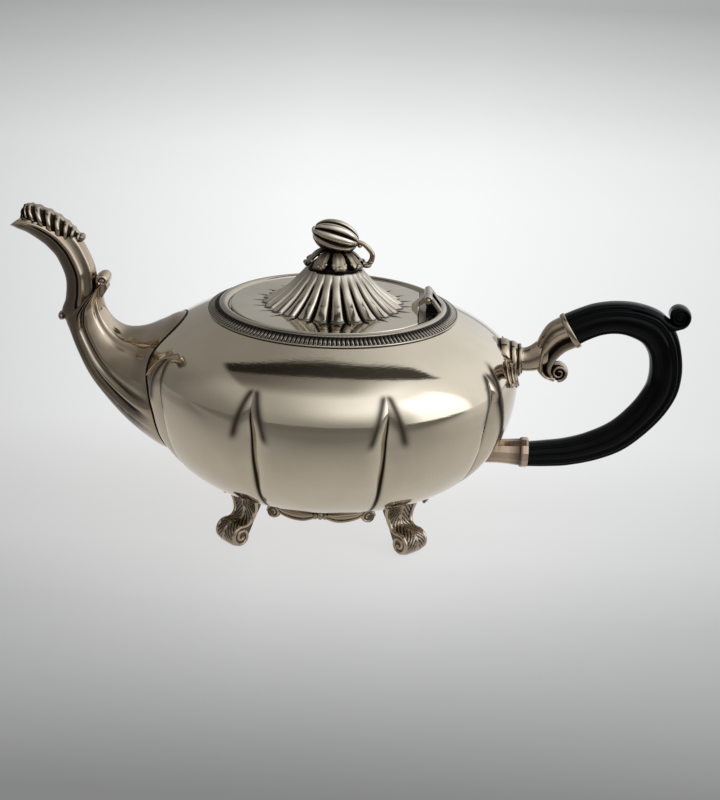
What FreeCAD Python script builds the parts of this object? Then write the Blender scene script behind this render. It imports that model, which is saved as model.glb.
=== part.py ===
import FreeCAD, Part
import math
import os

from FreeCAD import Vector

# Silver teapot on four cast feet: lobed body, hinged fluted lid, cast spout and a black loop handle.
# Millimetres, +Z is up. The spout points to -X, the handle to +X, and the front of the pot faces -Y.
# Pieces are drawn about the body's vertical axis at table level, then moved together along X
# so that the origin lies halfway between the spout's tip and the handle's outermost point.

# Body
belly_radius = 77.7
belly_height = 65.2
shoulder_radius = 47.0
shoulder_height = 93.0
shoulder_slope = 27.4
base_radius = 30.0
base_height = 17.8
body_wall = 1.2
upper_belly_pull = 14.5
shoulder_pull = 16.0
lower_belly_pull = 33.7
base_pull = 22.6

# Lobes: one wide lobe behind the spout, one at the handle, three narrower ones on each side
end_lobe_angle = 60.0
lobes_per_side = 3
crease_depth = 3.6
crease_width = 11.0
crease_top = 75.0
crease_bottom = 21.0
crease_fade = 16.0

# Holes through the body wall behind the spout
strainer_hole_radius = 1.6
strainer_pitch = 6.5
strainer_rings = 2

# Border round the mouth
border_width = 4.5
border_thickness = 0.9
border_valley = 0.7
solder_gap = 0.1
crest_width = 4.2
crest_height = 1.3
mouth_overhang = 0.2

# Seat inside the mouth, on which the lid rests
seat_wall = 1.1
seat_flange = 2.0
seat_flange_thickness = 1.2
seat_depth = 0.6

# Lid
lid_gap = 0.6
lid_rest_gap = 0.3
lid_plate_thickness = 1.2
hinge_chord = 35.2
hinge_chord_gap = 0.5
bezel_wall = 1.2
bezel_depth = 3.8
bezel_gap = 1.0
dome_foot_radius = 32.0
dome_top_radius = 11.5
dome_height = 15.2
dome_flare = 1.25
dome_wall = 1.4
crown_wall = 2.1
dome_flutes = 22
flute_depth = 1.5

# Finial
calyx_height = 7.6
calyx_radius = 12.0
calyx_neck_radius = 4.4
calyx_brim = 0.14
calyx_bend = 0.55
calyx_leaves = 10
calyx_leaf_depth = 1.2
bud_length = 21.0
bud_radius = 6.4
bud_tilt = 14.0
bud_ribs = 10
bud_rib_depth = 0.7
bud_sunk = 0.5
bud_cut = 0.97
stem_radius = 1.0
stem_foot_radius = 1.3
stem_bow = 2.2
stud_radius = 1.5
washer_radius = 4.0
washer_thickness = 0.8
nut_width = 5.5
nut_height = 2.4

# Hinge
hinge_x = 38.9
hinge_rise = 5.3
barrel_radius = 1.75
barrel_length = 16.0
middle_knuckle = 6.0
knuckle_gap = 0.3
hinge_pin_radius = 0.8
hinge_running_gap = 0.05
hinge_sheet = 0.9
leaf_gap = 0.3

# Spout, given as outline points of its upper and lower edges with the breadth across them,
# measured outwards from the belly and upwards from the belly's height
spout_wall = 1.4
calyx_sections = [
    (-19.7, 19.5, -19.7, -37.0, 40.0),
    (-11.7, 19.3, -9.7, -34.7, 38.0),
    (-5.2, 17.0, -0.7, -30.5, 34.0),
    (2.3, 14.4, 9.8, -22.9, 28.0),
    (10.1, 15.3, 19.5, -12.6, 23.0),
    (15.0, 19.3, 26.5, -2.3, 20.0),
    (17.4, 24.4, 30.8, 8.1, 18.0),
    (17.8, 29.3, 34.0, 16.3, 17.0),
    (16.1, 35.3, 34.8, 20.8, 16.5),
]
pipe_sections = [
    (15.5, 19.0, 28.5, 9.5, 12.0),
    (19.8, 31.8, 33.0, 25.5, 12.0),
    (20.8, 39.6, 33.0, 34.3, 11.5),
    (24.0, 47.1, 36.1, 42.3, 11.5),
    (27.0, 51.8, 39.3, 46.3, 11.5),
    (31.0, 56.0, 42.5, 49.1, 11.5),
    (37.5, 59.9, 49.0, 53.0, 12.0),
    (45.8, 63.3, 51.6, 54.1, 13.0),
    (49.6, 63.0, 55.3, 55.6, 12.0),
]
mouth_leaf_sections = [
    (25.5, 52.0, 30.3, 48.3, 5.0),
    (29.9, 56.8, 34.3, 50.8, 10.0),
    (36.8, 61.5, 40.8, 54.8, 11.5),
    (45.2, 65.2, 46.8, 58.3, 11.0),
    (49.4, 64.6, 50.3, 59.3, 8.0),
]
spout_curl = (17.2, 35.2)
spout_curl_radius = 2.0
spout_curl_breadth = 8.0

# Handle, its outer and inner edge points given from the same place on the belly
handle_top_joint = (16.6, 27.8, 23.3, 15.8)
handle_sections = [
    handle_top_joint + (11.5,),
    (30.0, 34.6, 33.3, 20.7, 12.0),
    (44.9, 36.2, 43.1, 21.2, 12.5),
    (57.5, 32.8, 50.4, 17.7, 12.5),
    (65.6, 18.3, 52.9, 12.6, 12.0),
    (67.7, 4.7, 53.7, 4.8, 11.5),
    (65.9, -5.1, 52.6, -0.5, 11.5),
    (59.5, -16.1, 48.2, -8.7, 11.0),
    (48.1, -27.6, 40.0, -17.2, 11.0),
    (36.9, -33.6, 30.3, -22.5, 10.5),
    (24.1, -37.1, 21.8, -25.2, 10.5),
    (14.5, -38.3, 13.3, -26.5, 10.0),
    (5.8, -38.8, 5.8, -27.8, 10.0),
]
thumb_scroll = (64.3, 30.4)
thumb_scroll_radius = 4.8
thumb_scroll_breadth = 9.0
thumb_neck = (58.5, 27.5)
thumb_neck_radius = 5.0
tenon_radius = 4.2
tenon_length = 9.0
handle_pin_radius = 1.1
handle_pin_depth = 5.0
pin_head_proud = 0.35

# Handle sockets
upper_socket_sections = [
    (-9.7, 16.8, -4.7, -3.2, 15.0),
    (-3.2, 15.6, 0.1, -0.2, 13.0),
    (1.6, 13.8, 2.8, 3.0, 9.0),
    (7.1, 17.0, 9.3, 4.3, 10.5),
    (11.1, 24.0, 15.9, 10.3, 12.0),
    handle_top_joint + (13.0,),
]
socket_curl = (16.6, 4.3)
socket_curl_radius = 4.2
socket_curl_breadth = 8.0
socket_curl_neck = (12.3, 6.6)
collar_length = 1.8
collar_proud = 0.7
lower_socket_radius = 4.7
lower_socket_flare = 0.8
mount_leaf_thickness = 1.3
mount_leaf_rise = 9.5
mount_leaf_drop = 14.0
mount_leaf_half_breadth = 11.0
mount_leaf_waist = 8.8
mount_leaf_crook = 3.0

# Feet and the aprons between them
foot_reach = 51.0
foot_volute_radius = 5.1
foot_flat = 0.2
foot_toe_breadth = 7.5
foot_top_breadth = 14.0
foot_front_radius = 47.0
foot_back_radius = 40.5
foot_waist = 3.0
foot_toe_join = 0.9
apron_radius = 44.5
apron_thickness = 2.0
apron_drop = 4.2
apron_angle = 54.0
apron_volute_radius = 2.5
apron_volute_rise = 0.8
apron_volute_proud = 0.5
apron_knot_radius = 2.2
apron_knot_rise = 0.6

# How finely the ovals are drawn, and how far joined pieces are first run into each other
section_points = 16
overlap = 2.0

# Values worked out from the sizes above
crest_middle = shoulder_radius - crest_width / 2 - mouth_overhang
mouth_radius = crest_middle - crest_width / 2
lid_radius = mouth_radius - lid_gap
seat_top = shoulder_height - seat_depth
plate_bottom = seat_top + lid_rest_gap
plate_top = plate_bottom + lid_plate_thickness
bezel_radius = mouth_radius + seat_wall - seat_flange - seat_wall - bezel_gap
hinge_z = plate_top + hinge_rise
dome_top = plate_top + dome_height
calyx_top = dome_top + calyx_height
bud_height = calyx_top + bud_radius - bud_sunk


def bezier(start, first, second, end, t):
    """Point of a cubic curve in the radius-height plane, with its direction."""
    a, b, c, d = (1 - t) ** 3, 3 * t * (1 - t) ** 2, 3 * t * t * (1 - t), t ** 3
    place = [a * p + b * q + c * r + d * s for p, q, r, s in zip(start, first, second, end)]
    a, b, c = 3 * (1 - t) ** 2, 6 * t * (1 - t), 3 * t * t
    way = [a * (q - p) + b * (r - q) + c * (s - r) for p, q, r, s in zip(start, first, second, end)]
    return place, way


def profile(t, offset=0.0):
    """Radius and height of the plain body: t runs 0 at the base, 1 at the belly, 2 at the shoulder."""
    belly = (belly_radius, belly_height)
    slope = math.radians(shoulder_slope)
    if t <= 1:
        base = (base_radius, base_height)
        place, way = bezier(base, (base_radius + base_pull, base_height),
                            (belly_radius, belly_height - lower_belly_pull), belly, t)
    else:
        shoulder = (shoulder_radius, shoulder_height)
        before = (shoulder_radius + shoulder_pull * math.cos(slope),
                  shoulder_height - shoulder_pull * math.sin(slope))
        place, way = bezier(belly, (belly_radius, belly_height + upper_belly_pull), before, shoulder, t - 1)
    length = math.hypot(*way)
    return place[0] + offset * way[1] / length, place[1] - offset * way[0] / length


def base_height_at(radius):
    """Height of the body's underside at a radius."""
    low, high = 0.0, 1.0
    for _ in range(40):
        middle = (low + high) / 2
        if profile(middle)[0] < radius:
            low = middle
        else:
            high = middle
    return profile(low)[1]


def ease(value):
    """Smooth step from 0 to 1."""
    value = min(max(value, 0.0), 1.0)
    return value * value * (3 - 2 * value)


def crease_angles():
    """Directions of the creases between lobes, counted from +X."""
    side = (180 - end_lobe_angle) / lobes_per_side
    half = [end_lobe_angle / 2 + side * k for k in range(lobes_per_side + 1)]
    return half + [180 + angle for angle in half]


def crease_at(height):
    """Depth of the creases at a height."""
    top = ease((crease_top - height) / crease_fade)
    bottom = ease((height - crease_bottom) / crease_fade)
    return crease_depth * top * bottom


def body_section(t, offset=0.0):
    """Closed outline of the body at one height, one smooth curve for each lobe."""
    radius, height = profile(t, offset)
    depth = crease_at(height)
    angles = crease_angles()
    edges = []
    steps = 10
    for start, end in zip(angles, angles[1:] + [angles[0] + 360]):
        points = []
        for k in range(steps + 1):
            share = (1 - math.cos(math.pi * k / steps)) / 2
            angle = start + (end - start) * share
            away = math.radians(min(angle - start, end - angle)) * belly_radius
            sunk = depth * max(0.0, 1 - away / crease_width) ** 2
            reach = radius - sunk
            turn = math.radians(angle)
            points.append(Vector(reach * math.cos(turn), reach * math.sin(turn), height))
        curve = Part.BSplineCurve()
        curve.interpolate(points)
        edges.append(curve.toShape())
    return Part.Wire(edges)


def body_solid(offset=0.0):
    """Filled body, moved outwards by an offset."""
    places = [0.0, 0.1, 0.22, 0.36, 0.5, 0.62, 0.74, 0.87, 1.0, 1.2, 1.4, 1.6, 1.8, 1.9, 2.0]
    return Part.makeLoft([body_section(t, offset) for t in places], True, False)


def ring(points):
    """Solid of revolution about Z from a closed outline of radius and height."""
    outline = [Vector(radius, 0, height) for radius, height in points]
    face = Part.Face(Part.makePolygon(outline + outline[:1]))
    return face.revolve(Vector(0, 0, 0), Vector(0, 0, 1), 360)


def disc(radius, bottom, height):
    """Upright cylinder on the pot's axis."""
    return Part.makeCylinder(radius, height, Vector(0, 0, bottom))


def across(x, z, radius, breadth):
    """Cylinder lying along Y, centred on the pot's middle plane."""
    return Part.makeCylinder(radius, breadth, Vector(x, -breadth / 2, z), Vector(0, 1, 0))


def oval(top, bottom, breadth):
    """Points of an oval between two points of the middle plane."""
    middle = (top + bottom) / 2
    rise = (top - bottom) / 2
    side = Vector(0, breadth / 2, 0)
    turns = [2 * math.pi * k / section_points for k in range(section_points)]
    return [middle + rise * math.cos(turn) + side * math.sin(turn) for turn in turns]


def section_ends(section, direction):
    """Upper and lower point of a section that is measured from the belly."""
    out_a, up_a, out_b, up_b, breadth = section
    top = Vector(direction * (belly_radius + out_a), 0, belly_height + up_a)
    bottom = Vector(direction * (belly_radius + out_b), 0, belly_height + up_b)
    return top, bottom


def tube(sections, direction, shrink=0.0):
    """Smooth closed skin drawn along ovals, made smaller all round by shrink, with flat ends."""
    # A smooth closed curve runs a little inside its corner points, so these are set wider
    wider = 3 / (2 + math.cos(2 * math.pi / section_points))
    rows = []
    for section in sections:
        top, bottom = section_ends(section, direction)
        middle = (top + bottom) / 2
        inward = (bottom - top).normalize() * shrink
        breadth = section[4] - 2 * shrink
        high = middle + (top + inward - middle) * wider
        low = middle + (bottom - inward - middle) * wider
        rows.append(oval(high, low, breadth * wider))
    along = [4] + [1] * (len(rows) - 4) + [4]
    around = [1] * (section_points + 1)
    skin = Part.BSplineSurface()
    skin.buildFromPolesMultsKnots(rows, along, around, [float(k) for k in range(len(along))],
                                  [float(k) for k in range(len(around))], False, True, 3, 3)
    side = skin.toShape()
    caps = [Part.Face(Part.Wire([edge])) for edge in side.Edges if not edge.isSeam(side)]
    shell = Part.makeShell([side] + caps)
    shell.sewShape()
    return Part.makeSolid(shell)


def at_handle(place):
    """Point of the middle plane, measured from the belly on the handle side."""
    return belly_radius + place[0], belly_height + place[1]


def body_shell(outer):
    """Lobed sheet body, open at the mouth and pierced behind the spout."""
    shell = outer.cut(body_solid(-body_wall))
    shell = shell.cut(disc(mouth_radius + seat_wall, shoulder_height - 2 * body_wall, 4 * body_wall))
    middle_out, middle_up = [(a + b) / 2 for a, b in zip(calyx_sections[1][:2], calyx_sections[1][2:4])]
    rows = range(-strainer_rings, strainer_rings + 1)
    holes = []
    for row in rows:
        for column in rows:
            if abs(row + column) <= strainer_rings:
                y = strainer_pitch * (column + row / 2)
                z = belly_height + middle_up + strainer_pitch * row * math.sin(math.pi / 3)
                start = Vector(-1.5 * belly_radius, y, z)
                holes.append(Part.makeCylinder(strainer_hole_radius, belly_radius, start, Vector(1, 0, 0)))
    return shell.cut(holes)


def rim_border():
    """Applied border: a half-round crest, then a sloping reeded band with a bead at its edge."""
    slope = math.radians(shoulder_slope)
    edge = shoulder_radius + border_width
    drop = border_width * math.tan(slope)
    inner = Vector(mouth_radius, 0, shoulder_height)
    crest = Vector(crest_middle, 0, shoulder_height + crest_height)
    valley = Vector(crest_middle + crest_width / 2, 0, shoulder_height + border_valley)
    band = Vector(edge - border_thickness / 2, 0, shoulder_height + border_thickness - drop)
    bead = Vector(edge, 0, shoulder_height + border_thickness / 2 - drop)
    under = Vector(edge - border_thickness, 0, shoulder_height - drop - overlap)
    seat = Vector(shoulder_radius - overlap, 0, shoulder_height)
    edges = [
        Part.Arc(inner, crest, valley).toShape(),
        Part.makeLine(valley, band),
        Part.makeLine(band, bead),
        Part.makeLine(bead, under),
        Part.makeLine(under, seat),
        Part.makeLine(seat, inner),
    ]
    solid = Part.Face(Part.Wire(edges)).revolve(Vector(0, 0, 0), Vector(0, 0, 1), 360)
    return solid.cut(body_solid(solder_gap))


def lid_seat():
    """Ring soldered under the border, with a flange for the lid."""
    wall = mouth_radius + seat_wall
    flange = wall - seat_wall - seat_flange
    flange_bottom = seat_top - seat_flange_thickness
    return ring([(mouth_radius, shoulder_height), (wall, shoulder_height), (wall, flange_bottom),
                 (flange, flange_bottom), (flange, seat_top), (mouth_radius, seat_top)])


def beyond_chord(x, bottom, top):
    """Block that fills everything on the handle side of a straight line across the mouth."""
    return Part.makeBox(shoulder_radius, 4 * shoulder_radius, top - bottom,
                        Vector(x, -2 * shoulder_radius, bottom))


def lid_plate():
    """Flat rim of the lid, cut straight along the hinge and open under the dome."""
    plate = disc(lid_radius, plate_bottom, lid_plate_thickness)
    plate = plate.cut(beyond_chord(hinge_chord, plate_bottom, plate_top))
    opening = dome_curve(0.0)[0] - flute_depth - 2 * dome_wall
    return plate.cut(disc(opening, plate_bottom, lid_plate_thickness))


def lid_bezel():
    """Ring under the lid that keeps it central in the mouth, open at the hinge."""
    tube_ring = disc(bezel_radius, plate_bottom - bezel_depth, bezel_depth)
    tube_ring = tube_ring.cut(disc(bezel_radius - bezel_wall, plate_bottom - bezel_depth, bezel_depth))
    chord = hinge_chord - 3 * hinge_sheet
    return tube_ring.cut(beyond_chord(chord, plate_bottom - bezel_depth, plate_bottom))


def scalloped(radius, depth, count, place):
    """Closed outline of round lobes. place turns a radius and an angle into a point."""
    edges = []
    for k in range(count):
        start = 2 * math.pi * k / count
        half = math.pi / count
        first = place(radius - depth, start)
        crown = place(radius, start + half)
        last = place(radius - depth, start + 2 * half)
        edges.append(Part.Arc(first, crown, last).toShape())
    return Part.Wire(edges)


def dome_curve(share):
    """Radius and height of the dome from its foot to its top: a cone that flares out at the foot."""
    spread = dome_foot_radius - dome_top_radius
    return dome_foot_radius - spread * share, plate_top + dome_height * share ** dome_flare


def lid_cover():
    """Pressed lid: a flat rim and a fluted bell, hollow from below, with a hole for the finial's stud."""
    shares = (0.0, 0.25, 0.5, 0.75, 1.0)
    wires = []
    for share in shares:
        radius, height = dome_curve(share)
        depth = flute_depth * radius / dome_foot_radius
        wires.append(scalloped(radius, depth, dome_flutes,
                               lambda r, a, z=height: Vector(r * math.cos(a), r * math.sin(a), z)))
    dome = Part.makeLoft(wires, True, False)
    inside = []
    for share in shares:
        radius, height = dome_curve(share)
        centre = Vector(0, 0, height - (dome_top - washer_top()) * share)
        inside.append(Part.Wire([Part.makeCircle(radius - flute_depth - 2 * dome_wall, centre)]))
    hollow = Part.makeLoft(inside, True, False)
    return dome.cut(hollow).fuse(lid_plate()).cut(disc(stud_radius, plate_bottom, dome_height + overlap))


def finial_calyx():
    """Collar of leaves that spreads over the dome and narrows to the bud's neck."""
    slope = calyx_radius - calyx_neck_radius
    levels = [(dome_top_radius, 0.0), (calyx_radius, calyx_brim), (calyx_neck_radius + slope / 2, calyx_bend),
              (calyx_neck_radius, 1.0)]
    wires = []
    for radius, share in levels:
        depth = calyx_leaf_depth * radius / calyx_radius
        height = dome_top + calyx_height * share
        wires.append(scalloped(radius, depth, calyx_leaves,
                               lambda r, a, z=height: Vector(r * math.cos(a), r * math.sin(a), z)))
    return Part.makeLoft(wires, True, False).cut(disc(stud_radius, dome_top, calyx_height))


def bud_point(along, radius, angle):
    """Point round the bud's tilted axis, which falls towards the handle."""
    tilt = math.radians(bud_tilt)
    axis = Vector(math.cos(tilt), 0, -math.sin(tilt))
    up = Vector(math.sin(tilt), 0, math.cos(tilt))
    centre = Vector(0, 0, bud_height)
    return centre + axis * along + up * (radius * math.cos(angle)) + Vector(0, radius * math.sin(angle), 0)


def finial_bud(calyx):
    """Ribbed bud lying on the calyx, bored for the stud."""
    wires = []
    for share in (-bud_cut, -0.8, -0.5, 0.0, 0.5, 0.8, bud_cut):
        along = share * bud_length / 2
        radius = bud_radius * math.sqrt(1 - share * share)
        depth = bud_rib_depth * radius / bud_radius
        wires.append(scalloped(radius, depth, bud_ribs, lambda r, a, s=along: bud_point(s, r, a)))
    bud = Part.makeLoft(wires, True, False)
    return bud.cut(calyx).cut(disc(stud_radius, dome_top, calyx_height + bud_radius))


def finial_stem(calyx, cover):
    """Stalk that loops from the bud's cut end down to the dome."""
    start = bud_point(bud_cut * bud_length / 2, 0, 0)
    way = bud_point(bud_length, 0, 0) - bud_point(0, 0, 0)
    end = Vector(calyx_radius + stem_radius, 0, dome_top + stem_foot_radius)
    crown = Vector(end.x + stem_bow, 0, (start.z + end.z) / 2)
    curve = Part.BSplineCurve()
    curve.interpolate(Points=[start, crown, end], InitialTangent=way, FinalTangent=Vector(-1, 0, -1))
    path = Part.Wire([curve.toShape()])
    section = Part.Wire([Part.makeCircle(stem_radius, start, way)])
    stalk = path.makePipeShell([section], True, True)
    return stalk.fuse(Part.makeSphere(stem_foot_radius, end)).cut(calyx).cut(cover)


def finial_stud():
    """Threaded stud, drawn plain, that ties bud, calyx and dome together."""
    bottom = washer_top() - washer_thickness - nut_height - stud_radius
    return disc(stud_radius, bottom, calyx_top + bud_radius - bottom)


def washer_top():
    """Underside of the dome's crown, where the washer sits."""
    return dome_top - crown_wall


def finial_washer():
    """Washer under the dome's crown."""
    washer = disc(washer_radius, washer_top() - washer_thickness, washer_thickness)
    return washer.cut(disc(stud_radius, washer_top() - washer_thickness, washer_thickness))


def finial_nut():
    """Hexagon nut under the washer."""
    bottom = washer_top() - washer_thickness - nut_height
    corner = nut_width / math.sqrt(3)
    corners = [Vector(corner * math.cos(k * math.pi / 3), corner * math.sin(k * math.pi / 3), bottom)
               for k in range(7)]
    nut = Part.Face(Part.makePolygon(corners)).extrude(Vector(0, 0, nut_height))
    return nut.cut(disc(stud_radius, bottom, nut_height))


def knuckle(start, end, bore):
    """One knuckle of the hinge barrel between two places along Y."""
    outer = Part.makeCylinder(barrel_radius, end - start, Vector(hinge_x, start, hinge_z), Vector(0, 1, 0))
    return outer.cut(Part.makeCylinder(bore, end - start, Vector(hinge_x, start, hinge_z), Vector(0, 1, 0)))


def sheet(outline, start, end):
    """Bent sheet from a closed outline of the middle plane, between two places along Y."""
    points = [Vector(x, start, z) for x, z in outline]
    return Part.Face(Part.makePolygon(points + points[:1])).extrude(Vector(0, end - start, 0))


def hinge_fixed_leaf(border):
    """Segment that closes the mouth behind the hinge, with a sloping riser and the two end knuckles."""
    segment = disc(mouth_radius, seat_top, plate_top - seat_top)
    leaf = segment.common(beyond_chord(hinge_chord + hinge_chord_gap, seat_top, plate_top))
    bore = hinge_pin_radius
    barrel_back = hinge_x + barrel_radius
    outline = [(mouth_radius - 2 * hinge_sheet, plate_top), (crest_middle, shoulder_height + solder_gap),
               (crest_middle, shoulder_height + crest_height), (barrel_back, hinge_z),
               (barrel_back - hinge_sheet, hinge_z)]
    inner_end = middle_knuckle / 2 + knuckle_gap
    for start, end in ((-barrel_length / 2, -inner_end), (inner_end, barrel_length / 2)):
        riser = sheet(outline, start, end)
        hole = Part.makeCylinder(bore, end - start, Vector(hinge_x, start, hinge_z), Vector(0, 1, 0))
        riser = riser.cut(hole)
        leaf = leaf.fuse(knuckle(start, end, bore)).fuse(riser)
    return leaf.cut(border)


def hinge_lid_leaf():
    """Foot on the lid with an upright and the middle knuckle."""
    half = middle_knuckle / 2
    bore = hinge_pin_radius + hinge_running_gap
    front = dome_foot_radius + leaf_gap
    back = hinge_chord - hinge_chord_gap
    outline = [(front, plate_top), (back, plate_top), (back, plate_top + hinge_sheet),
               (hinge_x, hinge_z - barrel_radius), (hinge_x, hinge_z),
               (hinge_x - barrel_radius, hinge_z), (front, plate_top + hinge_sheet / 2)]
    leaf = sheet(outline, -half, half)
    leaf = leaf.cut(Part.makeCylinder(bore, 2 * half, Vector(hinge_x, -half, hinge_z), Vector(0, 1, 0)))
    return leaf.fuse(knuckle(-half, half, bore))


def hinge_pin():
    """Pin along the barrel with a small head at each end."""
    pin = across(hinge_x, hinge_z, hinge_pin_radius, barrel_length)
    for side in (-1, 1):
        head = Part.makeSphere(hinge_pin_radius, Vector(hinge_x, side * barrel_length / 2, hinge_z))
        pin = pin.fuse(head)
    return pin


def spout(outer):
    """Cast spout: a calyx from the body, a pipe that rises out of it and a leaf over the mouth."""
    curl_x = -(belly_radius + spout_curl[0])
    curl_z = belly_height + spout_curl[1]
    curl = across(curl_x, curl_z, spout_curl_radius, spout_curl_breadth)
    solid = tube(calyx_sections, -1).fuse([tube(pipe_sections, -1), tube(mouth_leaf_sections, -1), curl])
    bore = tube(calyx_sections[:6] + pipe_sections[1:], -1, spout_wall)
    return solid.cut(bore).cut(outer)


def handle_ends():
    """Middle and outward direction of the handle's two cut ends."""
    ends = []
    for section, side in ((handle_sections[0], 1), (handle_sections[-1], -1)):
        top, bottom = section_ends(section, 1)
        rise = (top - bottom).normalize()
        ends.append(((top + bottom) / 2, Vector(-rise.z, 0, rise.x) * side))
    return ends


def tenons():
    """Round tongues of the handle that go into the sockets."""
    return [Part.makeCylinder(tenon_radius, tenon_length, middle, way) for middle, way in handle_ends()]


def pin_places():
    """Where the handle pins cross the sockets."""
    return [middle + way * handle_pin_depth for middle, way in handle_ends()]


def handle_grip():
    """Black loop with a scroll for the thumb and a tongue at each end."""
    grip = tube(handle_sections, 1)
    scroll_x, scroll_z = at_handle(thumb_scroll)
    neck_x, neck_z = at_handle(thumb_neck)
    scroll = across(scroll_x, scroll_z, thumb_scroll_radius, thumb_scroll_breadth)
    neck = across(neck_x, neck_z, thumb_neck_radius, thumb_scroll_breadth)
    grip = grip.fuse([scroll, neck] + tenons())
    for place in pin_places():
        grip = grip.cut(across(place.x, place.z, handle_pin_radius, belly_radius))
    return grip


def collar(way, section):
    """Raised ring round the end of a socket."""
    top, bottom = section_ends(section, 1)
    proud = (top - bottom).normalize() * collar_proud
    points = oval(top + proud, bottom - proud, section[4] + 2 * collar_proud)
    curve = Part.BSplineCurve()
    curve.interpolate(Points=points, PeriodicFlag=True)
    return Part.Face(Part.Wire([curve.toShape()])).extrude(way * collar_length)


def handle_upper_socket(outer):
    """Cast scroll that carries the handle's top end."""
    curl_x, curl_z = at_handle(socket_curl)
    neck_x, neck_z = at_handle(socket_curl_neck)
    solid = tube(upper_socket_sections, 1).fuse([
        across(curl_x, curl_z, socket_curl_radius, socket_curl_breadth),
        across(neck_x, neck_z, socket_curl_radius, socket_curl_breadth),
        collar(handle_ends()[0][1], upper_socket_sections[-1]),
    ])
    place = pin_places()[0]
    pin_hole = across(place.x, place.z, handle_pin_radius, belly_radius)
    return solid.cut(tenons()[0]).cut(pin_hole).cut(outer)


def handle_lower_socket(outer):
    """Short flared tube that carries the handle's lower end."""
    middle, way = handle_ends()[1]
    length = middle.x - (belly_radius - 3 * lower_socket_radius)
    solid = Part.makeCone(lower_socket_radius + lower_socket_flare, lower_socket_radius, length, middle, way)
    solid = solid.fuse(collar(way, handle_sections[-1]))
    place = pin_places()[1]
    pin_hole = across(place.x, place.z, handle_pin_radius, belly_radius)
    return solid.cut(tenons()[1]).cut(pin_hole).cut(outer)


def handle_pin(place, socket):
    """Rivet across a socket, with its heads a little proud."""
    wall = socket.common(across(place.x, place.z, 2 * handle_pin_radius, belly_radius)).optimalBoundingBox()
    return across(place.x, place.z, handle_pin_radius, wall.YLength + 2 * pin_head_proud)


def handle_mount_leaf(outer, socket):
    """Leaf laid on the body round the root of the upper socket."""
    root = belly_height + (upper_socket_sections[1][1] + upper_socket_sections[1][3]) / 2
    upper = root + mount_leaf_crook
    lower = root - 1.5 * mount_leaf_crook
    points = [Vector(0, 0, root + mount_leaf_rise), Vector(0, mount_leaf_half_breadth, upper),
              Vector(0, mount_leaf_waist, lower), Vector(0, 0, root - mount_leaf_drop),
              Vector(0, -mount_leaf_waist, lower), Vector(0, -mount_leaf_half_breadth, upper)]
    curve = Part.BSplineCurve()
    curve.interpolate(Points=points, PeriodicFlag=True)
    prism = Part.Face(Part.Wire([curve.toShape()])).extrude(Vector(2 * belly_radius, 0, 0))
    return body_solid(mount_leaf_thickness).common(prism).cut(outer).cut(socket)


def foot(outer, angle):
    """Cast foot: a curved leg under the body that ends in a rolled toe."""
    toe = foot_volute_radius - foot_flat
    front_top = base_height_at(foot_front_radius) + 2 * overlap
    back_top = base_height_at(foot_back_radius) + 2 * overlap
    middle = (base_height + toe) / 2
    front = Part.BSplineCurve()
    front.interpolate([Vector(foot_front_radius, 0, front_top),
                       Vector(foot_front_radius - foot_waist / 2, 0, middle + foot_waist),
                       Vector(foot_reach, 0, toe + foot_volute_radius * foot_toe_join)])
    back = Part.BSplineCurve()
    back.interpolate([Vector(foot_reach, 0, toe - foot_volute_radius * foot_toe_join),
                      Vector(foot_back_radius + foot_waist / 2, 0, middle),
                      Vector(foot_back_radius, 0, back_top)])
    edges = [front.toShape(), Part.makeLine(front.EndPoint, back.StartPoint), back.toShape(),
             Part.makeLine(back.EndPoint, front.StartPoint)]
    breadth = Vector(0, foot_top_breadth, 0)
    leg = Part.Face(Part.Wire(edges)).extrude(breadth)
    leg.translate(breadth * -0.5)
    volute = across(foot_reach, toe, foot_volute_radius, foot_top_breadth)
    top = max(front_top, back_top)
    half_top = foot_top_breadth / 2
    half_toe = foot_toe_breadth / 2
    taper = [Vector(0, -half_toe, 0), Vector(0, half_toe, 0), Vector(0, half_toe, toe),
             Vector(0, half_top, top), Vector(0, -half_top, top), Vector(0, -half_toe, toe)]
    wedge = Part.Face(Part.makePolygon(taper + taper[:1])).extrude(Vector(2 * foot_reach, 0, 0))
    solid = leg.fuse(volute).common(wedge)
    solid.rotate(Vector(0, 0, 0), Vector(0, 0, 1), angle)
    return solid.cut(outer)


def apron(outer, angle):
    """Cast strip between two feet with a volute at each end and a knot in the middle."""
    top = base_height_at(apron_radius + apron_thickness) + overlap
    bottom = base_height_at(apron_radius) - apron_drop
    inner = apron_radius - apron_thickness / 2
    corners = [Vector(inner, 0, bottom), Vector(inner + apron_thickness, 0, bottom),
               Vector(inner + apron_thickness, 0, top), Vector(inner, 0, top)]
    face = Part.Face(Part.makePolygon(corners + corners[:1]))
    strip = face.revolve(Vector(0, 0, 0), Vector(0, 0, 1), apron_angle)
    strip.rotate(Vector(0, 0, 0), Vector(0, 0, 1), -apron_angle / 2)
    height = bottom + apron_volute_radius * apron_volute_rise
    length = apron_thickness + 2 * apron_volute_proud
    pieces = []
    for side in (-1, 1):
        volute = Part.makeCylinder(apron_volute_radius, length,
                                   Vector(apron_radius - length / 2, 0, height), Vector(1, 0, 0))
        volute.rotate(Vector(0, 0, 0), Vector(0, 0, 1), side * apron_angle / 2)
        pieces.append(volute)
    knot = Vector(apron_radius, 0, bottom + apron_knot_radius * apron_knot_rise)
    pieces.append(Part.makeSphere(apron_knot_radius, knot))
    solid = strip.fuse(pieces)
    solid.rotate(Vector(0, 0, 0), Vector(0, 0, 1), angle)
    return solid.cut(outer)


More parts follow.
